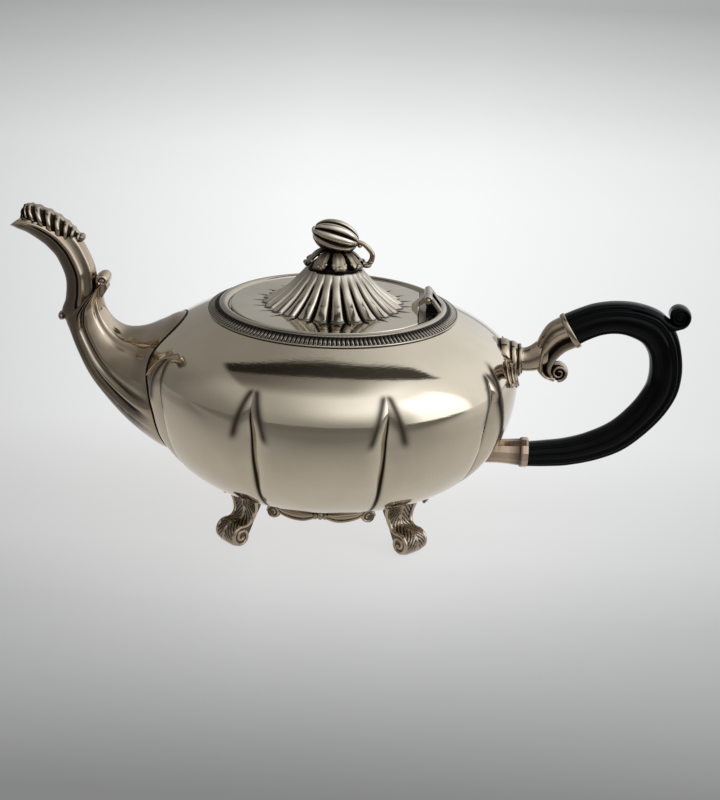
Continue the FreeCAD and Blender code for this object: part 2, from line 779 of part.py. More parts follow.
def build():
    """All pieces by node name."""
    outer = body_solid()
    pieces = {
        "body_shell": body_shell(outer),
        "rim_border": rim_border(),
        "lid_seat": lid_seat(),
        "spout": spout(outer),
        "lid_cover": lid_cover(),
        "lid_bezel": lid_bezel(),
        "finial_calyx": finial_calyx(),
        "finial_stud": finial_stud(),
        "finial_washer": finial_washer(),
        "finial_nut": finial_nut(),
        "hinge_lid_leaf": hinge_lid_leaf(),
        "hinge_pin": hinge_pin(),
        "handle_grip": handle_grip(),
        "handle_upper_socket": handle_upper_socket(outer),
        "handle_lower_socket": handle_lower_socket(outer),
    }
    pieces["hinge_fixed_leaf"] = hinge_fixed_leaf(pieces["rim_border"])
    pieces["finial_bud"] = finial_bud(pieces["finial_calyx"])
    pieces["finial_stem"] = finial_stem(pieces["finial_calyx"], pieces["lid_cover"])
    pieces["handle_mount_leaf"] = handle_mount_leaf(outer, pieces["handle_upper_socket"])
    upper_place, lower_place = pin_places()
    pieces["handle_upper_pin"] = handle_pin(upper_place, pieces["handle_upper_socket"])
    pieces["handle_lower_pin"] = handle_pin(lower_place, pieces["handle_lower_socket"])
    for name, angle in (("front_left", 225), ("front_right", 315), ("back_right", 45), ("back_left", 135)):
        pieces["foot_" + name] = foot(outer, angle)
    for name, angle in (("front", 270), ("handle_side", 0), ("back", 90), ("spout_side", 180)):
        pieces["apron_" + name] = apron(outer, angle)
    spout_tip = pieces["spout"].optimalBoundingBox().XMin
    handle_reach = pieces["handle_grip"].optimalBoundingBox().XMax
    for shape in pieces.values():
        shape.translate(Vector(-(spout_tip + handle_reach) / 2, 0, 0))
    print("The body's axis is at x %.4f" % (-(spout_tip + handle_reach) / 2))
    return pieces


os.makedirs("parts", exist_ok=True)
for node, shape in build().items():
    box = shape.optimalBoundingBox()
    print("%-20s solids %d valid %s volume %9.1f  x %.1f %.1f  y %.1f %.1f  z %.1f %.1f" % (
        node, len(shape.Solids), shape.isValid(), shape.Volume,
        box.XMin, box.XMax, box.YMin, box.YMax, box.ZMin, box.ZMax))
    shape.exportStep("parts/%s.step" % node)
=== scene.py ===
import math
from functools import partial, reduce
import bpy
import numpy as np
from mathutils import Matrix, Vector


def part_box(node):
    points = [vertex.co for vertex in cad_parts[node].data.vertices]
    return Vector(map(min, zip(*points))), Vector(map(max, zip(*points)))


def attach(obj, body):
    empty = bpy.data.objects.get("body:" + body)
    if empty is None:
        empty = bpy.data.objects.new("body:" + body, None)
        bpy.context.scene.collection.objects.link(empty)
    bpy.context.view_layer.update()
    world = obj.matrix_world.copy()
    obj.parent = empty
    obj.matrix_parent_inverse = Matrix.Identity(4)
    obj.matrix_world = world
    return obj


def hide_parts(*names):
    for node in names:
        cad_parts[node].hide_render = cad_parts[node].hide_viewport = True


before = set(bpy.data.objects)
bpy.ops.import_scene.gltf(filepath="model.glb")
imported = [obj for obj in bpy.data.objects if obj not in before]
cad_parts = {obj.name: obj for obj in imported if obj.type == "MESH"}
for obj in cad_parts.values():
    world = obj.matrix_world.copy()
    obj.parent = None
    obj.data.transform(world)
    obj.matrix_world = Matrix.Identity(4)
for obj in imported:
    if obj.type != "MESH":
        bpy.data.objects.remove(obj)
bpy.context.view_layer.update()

# Sizes of the pot are in millimetres and become metres when a piece is made.
MM = 0.001
TAU = 2 * math.pi

# Pieces are drawn about the pot's axis, which is the middle of the ring under the lid.
seat_low, seat_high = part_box("lid_seat")
axis_x = (seat_low[0] + seat_high[0]) / 2

belly_radius, belly_height = 77.7, 65.2
shoulder_radius, shoulder_height = 47.0, 93.0
shoulder_slope = math.radians(27.4)
base_radius, base_height = 30.0, 17.8
body_wall = 1.2
mouth_radius, crest_width, crest_height = 42.6, 4.2, 1.3
plate_bottom, plate_top, lid_radius, hinge_chord = 92.7, 93.9, 42.0, 35.2
dome_foot, dome_top_radius, dome_height, dome_flare, petals = 32.0, 11.5, 15.2, 2.2, 24
dome_top = plate_top + dome_height
crease_angles = [30, 70, 110, 150, 210, 250, 290, 330]
crease_top, crease_depth, crease_width = 79.5, 3.9, 10.0
hinge_x, hinge_height, knuckle_radius = 38.9, 99.2, 1.75
bud_length, bud_radius, bud_ribs = 9.5, 7.0, 9
scroll_centre, curl_centre = (141.6, 95.7), (94.4, 69.5)


# Helpers for shapes

def smooth(value, low=0.0, high=1.0):
    """Smooth step between two limits."""
    share = np.clip((np.asarray(value, float) - low) / (high - low), 0, 1)
    return share * share * (3 - 2 * share)


def line(value, middle, width):
    """Soft line: 1 at the middle, falling to 0."""
    return np.exp(-((value - middle) / width) ** 2)


def through(rows, steps):
    """Smooth curve through rows of numbers, sampled in equal steps."""
    rows = np.asarray(rows, float)
    place = np.linspace(0, len(rows) - 1, steps)
    k = np.minimum(place.astype(int), len(rows) - 2)
    t = (place - k)[:, None]
    padded = np.vstack([2 * rows[:1] - rows[1:2], rows, 2 * rows[-1:] - rows[-2:-1]])
    a, b, c, d = padded[k], padded[k + 1], padded[k + 2], padded[k + 3]
    return 0.5 * (2 * b + (c - a) * t + (2 * a - 5 * b + 4 * c - d) * t ** 2
                  + (3 * b - a - 3 * c + d) * t ** 3)


def turns(columns):
    """Equal angles round a full circle."""
    return np.linspace(0, TAU, columns, endpoint=False)


def polar(reach, turn, height):
    """Points from their distance to an upright axis, their angle about it and their height."""
    return np.stack(np.broadcast_arrays(reach * np.cos(turn), reach * np.sin(turn), height), -1)


def unit(rows):
    """Rows of numbers brought to length one."""
    return rows / np.linalg.norm(rows, axis=1, keepdims=True)


def about(angle):
    """Turn of rows of points about the pot's axis."""
    c, s = math.cos(angle), math.sin(angle)
    return np.array([[c, s, 0], [-s, c, 0], [0, 0, 1]])


def grid_faces(rows, columns, closed):
    """Quads of a grid of points counted row by row. A closed grid joins its last column to the first."""
    i = np.arange(rows - 1)[:, None]
    j = np.arange(columns if closed else columns - 1)[None, :]
    here, beside = i * columns + j, i * columns + (j + 1) % columns
    return np.stack([here, beside, beside + columns, here + columns], -1).reshape(-1, 4)


class Shape:
    """Points and faces that are gathered into one piece."""

    def __init__(self):
        self.points, self.faces, self.patina, self.count = [], [], [], 0

    def add(self, points, faces, patina=0.0):
        """The darkness value is one number or one for each point, from 0 for bright to 1 for black; it
        holds painted shade, painted reflections and tarnish in hollows.
        """
        points = np.asarray(points, float).reshape(-1, 3)
        self.points.append(points)
        self.patina.append(np.broadcast_to(np.asarray(patina, float).reshape(-1), len(points)))
        self.faces.extend((np.asarray(f) + self.count).tolist() for f in faces)
        self.count += len(points)
        return self

    def grid(self, points, patina=0.0, caps=False, closed=True):
        """Grid of points with shape (rows, columns, 3). Caps close its first and last row."""
        points = np.asarray(points, float)
        rows, columns = points.shape[:2]
        faces = list(grid_faces(rows, columns, closed))
        if caps:
            faces.append(np.arange(columns)[::-1])
            faces.append(np.arange(columns) + (rows - 1) * columns)
        return self.add(points, faces, patina)

    def turned(self, angle):
        """The same shape turned about the pot's axis by an angle in degrees."""
        points = np.vstack(self.points) @ about(math.radians(angle))
        return Shape().add(points, self.faces, np.concatenate(self.patina))


def hollows(points, faces, gain):
    """How deep each point lies in a hollow of the surface, 0 to 1."""
    quads = np.array([list(f) + [f[2]] * (4 - len(f)) for f in faces if len(f) in (3, 4)])
    a, b, c, d = (points[quads[:, k]] for k in range(4))
    face_normal = np.cross(c - a, d - b)
    normal = np.zeros_like(points)
    for k in range(4):
        np.add.at(normal, quads[:, k], face_normal)
    normal /= np.linalg.norm(normal, axis=1, keepdims=True) + 1e-12
    following = np.roll(quads, -1, 1)
    one = np.concatenate([quads, following]).ravel()
    other = np.concatenate([following, quads]).ravel()
    number = np.maximum(np.bincount(one, minlength=len(points)), 1)

    def mean(values):
        return np.bincount(one, values, len(points)) / number

    middle = np.stack([mean(points[other, k]) for k in range(3)], 1)
    reach = mean(np.linalg.norm(points[one] - points[other], axis=1))
    bend = np.einsum("ij,ij->i", middle - points, normal) / (reach + 1e-9)
    depth = np.clip(bend * gain, 0, 1)
    for _ in range(3):
        depth = np.maximum(depth * 0.6, 0.5 * depth + 0.5 * mean(depth[other]))
    return depth


def put(name, data):
    """New object in the scene."""
    thing = bpy.data.objects.new(name, data)
    bpy.context.scene.collection.objects.link(thing)
    return thing


def piece(name, shape, body, nodes, material, gain=0.0, flat=False):
    """Make a piece of the pot from a shape."""
    points = np.vstack(shape.points)
    mesh = bpy.data.meshes.new(name)
    mesh.from_pydata((points * MM + [axis_x, 0, 0]).tolist(), [], shape.faces)
    patina = np.concatenate(shape.patina)
    # Points in hollows of the surface are painted darker: painted shade in the hollows, with tarnish there
    # too.
    if gain:
        patina = np.maximum(patina, hollows(points, shape.faces, gain))
    layer = mesh.attributes.new("patina", "FLOAT", "POINT")
    layer.data.foreach_set("value", patina.astype(np.float32))
    mesh.validate()
    mesh.materials.append(material)
    mesh.polygons.foreach_set("use_smooth", [not flat] * len(mesh.polygons))
    thing = put(name, mesh)
    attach(thing, body)
    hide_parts(*nodes)


def rod(path, across, breadth, columns=16, relief=0.0, side=(0.0, 1.0, 0.0)):
    """Grid round a path, with half sizes across it and along the side direction.
    Relief is added outwards."""
    path = np.asarray(path, float)
    way = unit(np.gradient(path, axis=0))
    side = np.tile(np.asarray(side, float), (len(path), 1))
    side = unit(side - way * np.einsum("ij,ij->i", side, way)[:, None])
    up = np.cross(side, way)
    turn = turns(columns)
    across, breadth = (np.broadcast_to(size, len(path))[:, None] for size in (across, breadth))
    return (path[:, None, :] + ((across + relief) * np.cos(turn))[..., None] * up[:, None, :]
            + ((breadth + relief) * np.sin(turn))[..., None] * side[:, None, :])


def ball(centre, radii, rows=12, columns=20):
    """Grid of an ellipsoid."""
    tilt = np.linspace(0.02, math.pi - 0.02, rows)[:, None]
    return polar(np.sin(tilt), turns(columns), np.cos(tilt)) * radii + centre


def spiral(centre, start_radius, end_radius, start_angle, rounds, steps=60):
    """Path of a flat spiral in the middle plane."""
    share = np.linspace(0, 1, steps)
    radius = start_radius + (end_radius - start_radius) * share
    angle = math.radians(start_angle) + TAU * rounds * share
    return np.stack([centre[0] + radius * np.cos(angle), 0 * share, centre[1] + radius * np.sin(angle)], -1)


def hoop(centre, radius, y, columns):
    """Ring of points about a line across the pot."""
    turn = turns(columns)
    return np.stack([centre[0] + radius * np.cos(turn), np.full(columns, y),
                     centre[1] + radius * np.sin(turn)], -1)


def lathe(outline, columns=96):
    """Grid of a profile of radius and height turned about the pot's axis."""
    outline = np.asarray(outline, float)
    return polar(outline[:, :1], turns(columns), outline[:, 1:])


# Materials

def new_material(name):
    """Empty material with its shader and output."""
    material = bpy.data.materials.new(name)
    material.use_nodes = True
    tree = material.node_tree
    return material, tree.nodes, tree.links, tree.nodes["Principled BSDF"]


def noise(nodes, links, scale, detail=4.0, stretch=None):
    """Noise in the object's own space, optionally stretched."""
    place = nodes.new("ShaderNodeTexCoord")
    texture = nodes.new("ShaderNodeTexNoise")
    texture.inputs["Scale"].default_value = scale
    texture.inputs["Detail"].default_value = detail
    source = place.outputs["Object"]
    if stretch:
        mapping = nodes.new("ShaderNodeMapping")
        mapping.inputs["Scale"].default_value = stretch
        links.new(source, mapping.inputs["Vector"])
        source = mapping.outputs["Vector"]
    links.new(source, texture.inputs["Vector"])
    return texture.outputs["Fac"]


def ramp(nodes, links, source, stops):
    """Colour ramp over a value. Each stop is a place and a colour or a grey."""
    node = nodes.new("ShaderNodeValToRGB")
    elements = node.color_ramp.elements
    for k, (place, colour) in enumerate(stops):
        element = elements[k] if k < 2 else elements.new(place)
        element.position = place
        element.color = (*colour, 1) if isinstance(colour, tuple) else (colour, colour, colour, 1)
    links.new(source, node.inputs["Fac"])
    return node.outputs["Color"]


def feed(links, socket, value):
    """Give a socket a number, a colour or what another socket sends."""
    if isinstance(value, (int, float)):
        socket.default_value = value
    elif isinstance(value, tuple):
        socket.default_value = (*value, 1)
    else:
        links.new(value, socket)


def mix(nodes, links, factor, first, second, kind="MIX"):
    """Blend of two colours."""
    node = nodes.new("ShaderNodeMix")
    node.data_type = "RGBA"
    node.blend_type = kind
    for k, value in ((0, factor), (6, first), (7, second)):
        feed(links, node.inputs[k], value)
    return node.outputs[2]


def bump(nodes, links, shader, height, strength, distance):
    """Fine surface relief."""
    node = nodes.new("ShaderNodeBump")
    node.inputs["Strength"].default_value = strength
    node.inputs["Distance"].default_value = distance
    links.new(height, node.inputs["Height"])
    links.new(node.outputs["Normal"], shader.inputs["Normal"])


def calculate(nodes, links, operation, a, b):
    """Arithmetic on two values, each a number or a socket."""
    node = nodes.new("ShaderNodeMath")
    node.operation = operation
    for socket, value in zip(node.inputs, (a, b)):
        feed(links, socket, value)
    return node.outputs[0]


def remap(nodes, links, value, low, high, start=0.0, end=1.0, kind="LINEAR"):
    """Value carried from one range into another and held at its ends."""
    node = nodes.new("ShaderNodeMapRange")
    node.interpolation_type = kind
    for name, number in (("From Min", low), ("From Max", high), ("To Min", start), ("To Max", end)):
        node.inputs[name].default_value = number
    links.new(value, node.inputs["Value"])
    return node.outputs["Result"]


def axes(nodes, links, space):
    """The three parts of a place in one of the texture spaces."""
    place = nodes.new("ShaderNodeTexCoord")
    split = nodes.new("ShaderNodeSeparateXYZ")
    links.new(place.outputs[space], split.inputs["Vector"])
    return [split.outputs[name] for name in "XYZ"]


def silver(name, light, shade, dark, rough, streaks):
    """Plated metal in two tones mottled at random, painted towards a dark colour by each point's darkness
    value: painted shade and reflections in its creases, grooves and hollows, and tarnish in hollows.
    """
    material, nodes, links, shader = new_material(name)
    shader.inputs["Metallic"].default_value = 1.0
    cloud = ramp(nodes, links, noise(nodes, links, 45, 5), [(0.32, shade), (0.68, light)])
    layer = nodes.new("ShaderNodeAttribute")
    layer.attribute_name = "patina"
    # The darkness value paints the dark colour on: painted shade, painted reflections and tarnish.
    depth = ramp(nodes, links, layer.outputs["Fac"], [(0.0, 0.0), (0.75, 1.0)])
    links.new(mix(nodes, links, depth, cloud, dark), shader.inputs["Base Color"])
    grain = noise(nodes, links, 260, 3, streaks)
    gloss = ramp(nodes, links, grain, [(0.3, rough[0]), (0.75, rough[1])])
    links.new(mix(nodes, links, depth, gloss, (0.45, 0.45, 0.45)), shader.inputs["Roughness"])
    bump(nodes, links, shader, grain, 0.05, 0.0002)
    return material


def black_gloss(name):
    """Polished black grip with faint greyed wear."""
    material, nodes, links, shader = new_material(name)
    cloud = noise(nodes, links, 60, 6)
    black = ramp(nodes, links, cloud, [(0.35, (0.0010, 0.0010, 0.0011)), (0.7, (0.0025, 0.0025, 0.0025))])
    links.new(black, shader.inputs["Base Color"])
    links.new(ramp(nodes, links, cloud, [(0.3, 0.1), (0.75, 0.2)]), shader.inputs["Roughness"])
    shader.inputs["Specular IOR Level"].default_value = 0.1
    bump(nodes, links, shader, noise(nodes, links, 420, 3), 0.03, 0.0002)
    return material


# The third colour of each silver is the dark of its painted shade, painted reflections and tarnish.
sheet_silver = silver("sheet_silver", (0.61, 0.53, 0.415), (0.55, 0.475, 0.365), (0.030, 0.018, 0.011),
                      (0.05, 0.1), (1, 1, 14))
cast_silver = silver("cast_silver", (0.46, 0.375, 0.28), (0.32, 0.255, 0.185), (0.010, 0.007, 0.005),
                     (0.06, 0.15), None)
lid_silver = silver("lid_silver", (0.47, 0.41, 0.335), (0.38, 0.33, 0.265), (0.012, 0.009, 0.007),
                    (0.07, 0.14), None)
plate_silver = silver("plate_silver", (0.70, 0.62, 0.505), (0.58, 0.51, 0.41), (0.012, 0.009, 0.007),
                      (0.06, 0.12), None)
warm_silver = silver("warm_silver", (0.52, 0.40, 0.295), (0.27, 0.19, 0.13), (0.03, 0.018, 0.012),
                     (0.1, 0.18), None)
brass = silver("brass", (0.62, 0.47, 0.22), (0.50, 0.37, 0.16), (0.03, 0.02, 0.01), (0.16, 0.28), None)
grip_black = black_gloss("grip_black")


# Body

def body_profile(steps_low, steps_high, offset=0.0):
    """Radius and height from the base to the shoulder, moved outwards by an offset."""
    belly = np.array([belly_radius, belly_height])
    low = [np.array([base_radius, base_height]), np.array([base_radius + 22.6, base_height]),
           belly - [0, 33.7], belly]
    shoulder = np.array([shoulder_radius, shoulder_height])
    before = shoulder + 16.0 * np.array([math.cos(shoulder_slope), -math.sin(shoulder_slope)])
    high = [belly, belly + [0, 14.5], before, shoulder]
    rows = []
    for poles, steps in ((low, steps_low), (high, steps_high)):
        t = np.linspace(0, 1, steps)[:, None]
        shares = (1 - t) ** 3, 3 * t * (1 - t) ** 2, 3 * t * t * (1 - t), t ** 3
        place = sum(k * p for k, p in zip(shares, poles))
        way = np.gradient(place, axis=0)
        rows.append(place + offset * unit(np.stack([way[:, 1], -way[:, 0]], 1)))
    return np.vstack([rows[0], rows[1][1:]])


def crease(angle, height):
    """Depth of the creases at an angle and a height, and how dark the metal is painted in and beside them:
    painted shade along each crease and a painted reflection in an arch beside its top.
    """
    away = np.min([np.abs((angle - a + 180) % 360 - 180) for a in crease_angles], axis=0)
    away = np.radians(away) * belly_radius
    below = np.clip((crease_top - height) / 24.0, 0, 1)
    above = np.clip((height - 24.0) / 22.0, 0, 1)
    width = crease_width * np.sqrt(below) ** 1.3 * np.sqrt(above) + 0.2
    depth = crease_depth * smooth(below, 0, 0.85) * smooth(above)
    near = np.clip(1 - away / width, 0, 1)
    # Painted shade: a dark line down the bottom of each crease.
    stroke = 0.42 + 0.62 * smooth(62.0 - height, 0, 26)
    dark = line(away, 0, stroke) * smooth(below, 0.25, 0.45) * smooth(above, 0.0, 0.14)
    # Painted reflection: a dark arch beside the top of each crease.
    arch = 7.4 * np.clip((crease_top - height) / 22.0, 0, 1) ** 0.7
    reflection_arch = line(away, arch, 1.6) * smooth(crease_top - 0.2 - height, 0, 2)
    return depth * near ** 2.0, np.maximum(dark, 0.7 * reflection_arch * smooth(height, 57.5, 62.0))


def body():
    """Lobed skin with its sharp creases, the inside that follows them, and the flat bottom."""
    shape = Shape()
    angles = []
    share = (1 - np.cos(np.linspace(0, math.pi, 65))) / 2
    share = 0.5 * share + 0.5 * smooth(share)
    for start, end in zip(crease_angles, crease_angles[1:] + [390]):
        angles.extend(start + (end - start) * share[:-1])
    angles = np.array(angles)[None, :]
    outline = body_profile(100, 64)
    radius, height = outline[:, :1], outline[:, 1:]
    sunk, dark = crease(angles, height)
    # Painted reflection of the black handle: a dark band on the body to each side of the handle.
    beside = np.interp(height, [46, 52, 58, 67, 76.5, 80], [339.5, 338, 336, 333, 334, 335.5])
    beside = np.abs(np.abs((angles + 180) % 360 - 180) - (360 - beside))
    band = line(beside, 0, 1.3) * smooth(height, 42, 50) * smooth(82 - height, 0, 4)
    shape.grid(polar(radius - sunk, np.radians(angles), height), np.maximum(dark, 0.85 * band))
    inner = body_profile(40, 30, -body_wall)
    inner = inner[inner[:, 1] < shoulder_height - 1.2]
    inner = np.vstack([inner, [[mouth_radius + 1.1, shoulder_height - 0.1]]])
    coarse = angles[:, ::4]
    lining = polar(inner[:, :1] - crease(coarse, inner[:, 1:])[0], np.radians(coarse), inner[:, 1:])
    centre = lining[:1] * np.array([0.02, 0.02, 1.0])
    shape.grid(np.concatenate([centre, lining])[::-1])
    shape.grid(lathe([[0.5, base_height], [base_radius, base_height]]))
    piece("body", shape, "pot", ["body_shell"], sheet_silver)


def border():
    """Half-round crest, reeded band with beaded ends and a thin outer bead."""
    reeds = 176
    columns = reeds * 8
    arc = np.linspace(0, 1, 14)
    crest_rise = crest_height * np.sin(math.pi * arc) ** 0.8 + 0.7 * arc
    crest = np.stack([mouth_radius + crest_width * arc, shoulder_height + crest_rise], 1)
    start, end = np.array([46.9, 93.65]), np.array([50.7, 91.75])
    band = start + (end - start) * np.linspace(0, 1, 16)[:, None]
    bead = [(51.0, 91.75), (51.35, 91.6), (51.5, 91.25), (51.4, 90.95), (50.9, 90.7), (49.5, 90.6)]
    outline = np.vstack([[[mouth_radius, shoulder_height - 0.6]], crest, band, bead])
    grid, dark = lathe(outline, columns), np.zeros((len(outline), columns))
    wave = np.abs(np.cos(turns(columns) * reeds / 2)) ** 0.7
    first, last = 1 + len(crest), 1 + len(crest) + len(band)
    share = np.sin(math.pi * np.linspace(0.08, 1, 16) ** 1.6) ** 0.6
    grid[first:last, :, 2] += share[:, None] * (0.75 * wave - 0.6)
    # Painted shade between the reeds; the band is also painted darker towards its inner edge.
    inner = smooth(np.linspace(1, 0, 16), 0.35, 0.75)
    dark[first:last] = np.maximum(0.7 * inner[:, None], 1 - smooth(wave, 0.5, 0.85))
    # Painted shade: the joints on both sides of the band and the underside of the bead are painted dark.
    dark[first - 1:first + 2] = np.maximum(dark[first - 1:first + 2], 0.8)
    dark[last] = 0.9
    dark[-3:] = 0.9
    shape = Shape().grid(grid, dark)
    piece("border", shape, "pot", ["rim_border"], lid_silver)


# Lid

def lid():
    """Flat rim with its straight edge at the hinge, and the bell of rounded petals."""
    columns = petals * 36
    turn = turns(columns)
    cosine = np.cos(turn)
    straight = hinge_chord / np.maximum(cosine, 0.1)
    edge = np.where(cosine > hinge_chord / lid_radius, straight, lid_radius)
    phase = (turn * petals / TAU) % 1 * 2 - 1
    rows = 90
    share = np.linspace(0, 1, rows)[:, None]
    radius = 2.0 + (edge[None, :] - 2.0) * share
    slope = np.clip((dome_foot - radius) / (dome_foot - dome_top_radius), 0, 1)
    height = plate_top + dome_height * slope ** dome_flare
    swell = np.sqrt(np.clip(1 - phase ** 2, 0, 1))[None, :]
    tongue = dome_foot - 2.6 - 3.6 * phase[None, :] ** 2
    full = smooth(radius, dome_top_radius - 1, dome_top_radius + 5)
    round_end = np.clip((tongue - radius) / 7.0, 0, 1) ** 0.65
    lift = 2.4 * (0.4 + 0.6 * radius / dome_foot) * swell * round_end * full
    groove_end = 34.6
    gap = 1 - np.abs(phase)[None, :]
    narrow = np.clip((groove_end - radius) / 9.0, 0.02, 1)
    groove = line(gap, 0, 0.27 * narrow) * smooth(groove_end - radius, 0, 3) * full
    height = (height + lift * 0.9 - 1.5 * groove * smooth(slope, 0.0, 0.3)
              - 0.3 * full * smooth(slope, 0, 0.2))
    height = np.maximum(height, plate_top - 0.55 * groove)
    height = np.where(radius < dome_top_radius, dome_top, height)
    points = polar(radius, turn, height)
    # Painted shade in the grooves between the petals; the bell is also painted darker towards the top and a
    # little darker on the raised petals.
    dark = np.clip(groove, 0, 1) ** 0.8
    dark = np.maximum(dark, 0.35 * (1 - smooth(radius, 12, 21)) + 0.08 * smooth(lift, 0.3, 1.2))
    # Painted shadow in a line round the rounded end of each petal.
    petal_end_shadow = line(radius - tongue, -0.4, 0.5) * smooth(gap, 0.1, 0.3)
    dark = np.maximum(dark, 0.75 * petal_end_shadow)

    under = [polar(edge, turn, plate_bottom)]
    for k in np.linspace(0, 1, 14):
        reach = dome_foot - 4.3 - (dome_foot - dome_top_radius) * k
        under.append(polar(reach, turn, plate_bottom + (dome_top - 2.1 - plate_bottom) * k ** dome_flare))
    under.append(polar(0.5, turn, dome_top - 2.1))
    shade = np.concatenate([dark, np.zeros((len(under), columns))])
    shape = Shape().grid(np.concatenate([points, np.stack(under)]), shade)
    piece("lid", shape, "lid", ["lid_cover"], plate_silver)


# Finial

def finial():
    """Collar of drooping curled leaves, ribbed bud and looping stalk."""
    base = np.array([0, dome_top])
    core = [(1.6, 6.6), (4.0, 6.3), (6.0, 4.4), (9.4, 1.6), (10.8, 0.6), (10.6, 0.0)]
    # Painted shade: the core under the leaves is painted nearly black.
    collar = Shape().grid(lathe(core + base, 60), 0.95)
    around = turns(28)[None, :]
    middle = np.abs((around + math.pi) % TAU - math.pi)
    for k in range(8):
        turn = about(TAU * (k + 0.32) / 8)
        rows = through([(3.0, 7.3), (5.4, 7.1), (8.0, 5.6), (10.2, 3.4), (11.6, 1.9), (12.2, 2.3),
                        (11.7, 3.1)], 40)
        path = np.stack([rows[:, 0], 0 * rows[:, 0], dome_top + rows[:, 1]], -1)
        share = np.linspace(0, 1, 40)
        wide = np.interp(share, [0, 0.3, 0.55, 0.8, 1], [1.0, 2.4, 3.1, 2.4, 1.3])
        thick = np.interp(share, [0, 0.4, 0.8, 1], [0.5, 0.75, 0.8, 0.5])
        vein = -0.3 * line(middle, 0, 0.3) + 0.12 * np.cos(around * 7)
        leaf = rod(path, thick, wide, 28, vein * smooth(share, 0.05, 0.3)[:, None])
        # Painted shade in the vein down each leaf, at its edges and towards its root.
        shade = np.maximum(0.75 * line(middle, 0, 0.16), 0.8 * smooth(np.abs(np.sin(around)), 0.8, 1.0))
        shade = np.maximum(shade, (0.25 + 0.5 * (1 - smooth(share, 0.1, 0.45)))[:, None])
        collar.grid(leaf @ turn, shade, caps=True)
        for reach, aside, rise, size in ((11.6, 0.0, 2.4, 1.25), (9.9, 2.3, 3.3, 0.95),
                                         (9.9, -2.3, 3.3, 0.95)):
            tip = np.array([reach, aside, dome_top + rise]) @ turn
            collar.grid(ball(tip, (size, size, size * 0.9)))
    piece("finial_leaves", collar, "lid", ["finial_calyx"], cast_silver, 1.4)

    tilt = math.radians(14.0)
    axis = np.array([math.cos(tilt), 0, -math.sin(tilt)])
    up = np.array([math.sin(tilt), 0, math.cos(tilt)])
    centre = np.array([0.3, 0, dome_top + 12.9])
    share = np.linspace(-1, 1, 60)[:, None]
    turn = turns(180)[None, :]
    girth = bud_radius * np.sqrt(np.clip(1 - np.abs(share + 0.02) ** 2.0 / 1.05, 0, 1))
    girth = np.maximum(girth, 0.9) * smooth(1.02 - np.abs(share), 0.0, 0.06)
    wave = np.abs(np.cos(turn * bud_ribs / 2 + 0.35 + 0.25 * share)) ** 0.62
    reach = girth * (1 - 0.2 * (1 - wave))
    bud = (centre + (share * bud_length)[..., None] * axis + (reach * np.cos(turn))[..., None] * up
           + (reach * np.sin(turn))[..., None] * np.array([0, 1, 0]))
    # Painted shade in the grooves between the bud's ribs.
    shade = np.maximum(0.08, smooth(1 - wave, 0.18, 0.48)) * np.ones_like(share)
    shape = Shape().grid(bud, shade)
    shape.grid(ball(centre - axis * 9.2, (1.1, 1.7, 1.7)))
    # Painted shade: the neck under the bud is painted nearly black.
    shape.grid(lathe([(4.8, 6.2), (3.6, 7.2), (4.0, 8.8)] + base, 40), 0.95)
    piece("finial_bud_ribs", shape, "lid", ["finial_bud"], plate_silver)

    end = centre + axis * 8.8
    path = through([end - axis, end + [1.6, 0, 0.0], end + [4.0, 0, -1.5], [15.2, 0, dome_top + 6.4],
                    [15.0, 0, dome_top + 3.6], [13.4, 0, dome_top + 1.7], [11.6, 0, dome_top + 1.9]], 60)
    thick = np.interp(np.linspace(0, 1, 60), [0, 0.25, 0.7, 1], [0.8, 0.95, 1.15, 1.3])
    stalk = Shape().grid(rod(path, thick, thick, 16), caps=True)
    for place, size in (((13.0, 0, dome_top + 1.5), (2.2, 2.2, 1.1)),
                        (end + [1.2, 0, -1.3], (1.0, 1.2, 0.8)),
                        ((14.6, 0, dome_top + 2.9), (1.3, 1.6, 0.8))):
        stalk.grid(ball(place, size))
    piece("finial_stalk", stalk, "lid", ["finial_stem"], cast_silver, 1.5)


# Spout

skin = body_profile(110, 70)


def skin_radius(angle, height):
    """Radius of the creased body at an angle in degrees and a height."""
    return np.interp(height, skin[:, 1], skin[:, 0]) - crease(angle % 360, height)[0]


def reaches(grid):
    """Distance of points from the pot's axis, and that of the body's skin beside them."""
    x, y, z = np.moveaxis(grid, -1, 0)
    return np.hypot(x, y), skin_radius(np.degrees(np.arctan2(y, x)), z)


def outside(grid, sunk=0.7):
    """Points that would reach into the pot are drawn back into its wall."""
    grid = grid.copy()
    reach, limit = reaches(grid)
    limit = limit - sunk
    inside = (reach < limit) & (grid[..., 2] < shoulder_height) & (grid[..., 2] > base_height)
    grid[..., :2] *= np.where(inside, limit / np.maximum(reach, 1e-6), 1.0)[..., None]
    return grid


def on_skin(rows):
    """Points on the body from rows of angle, height and lift."""
    angle, height, lift = np.asarray(rows, float).T
    return polar(skin_radius(angle, height) + lift, np.radians(angle), height)


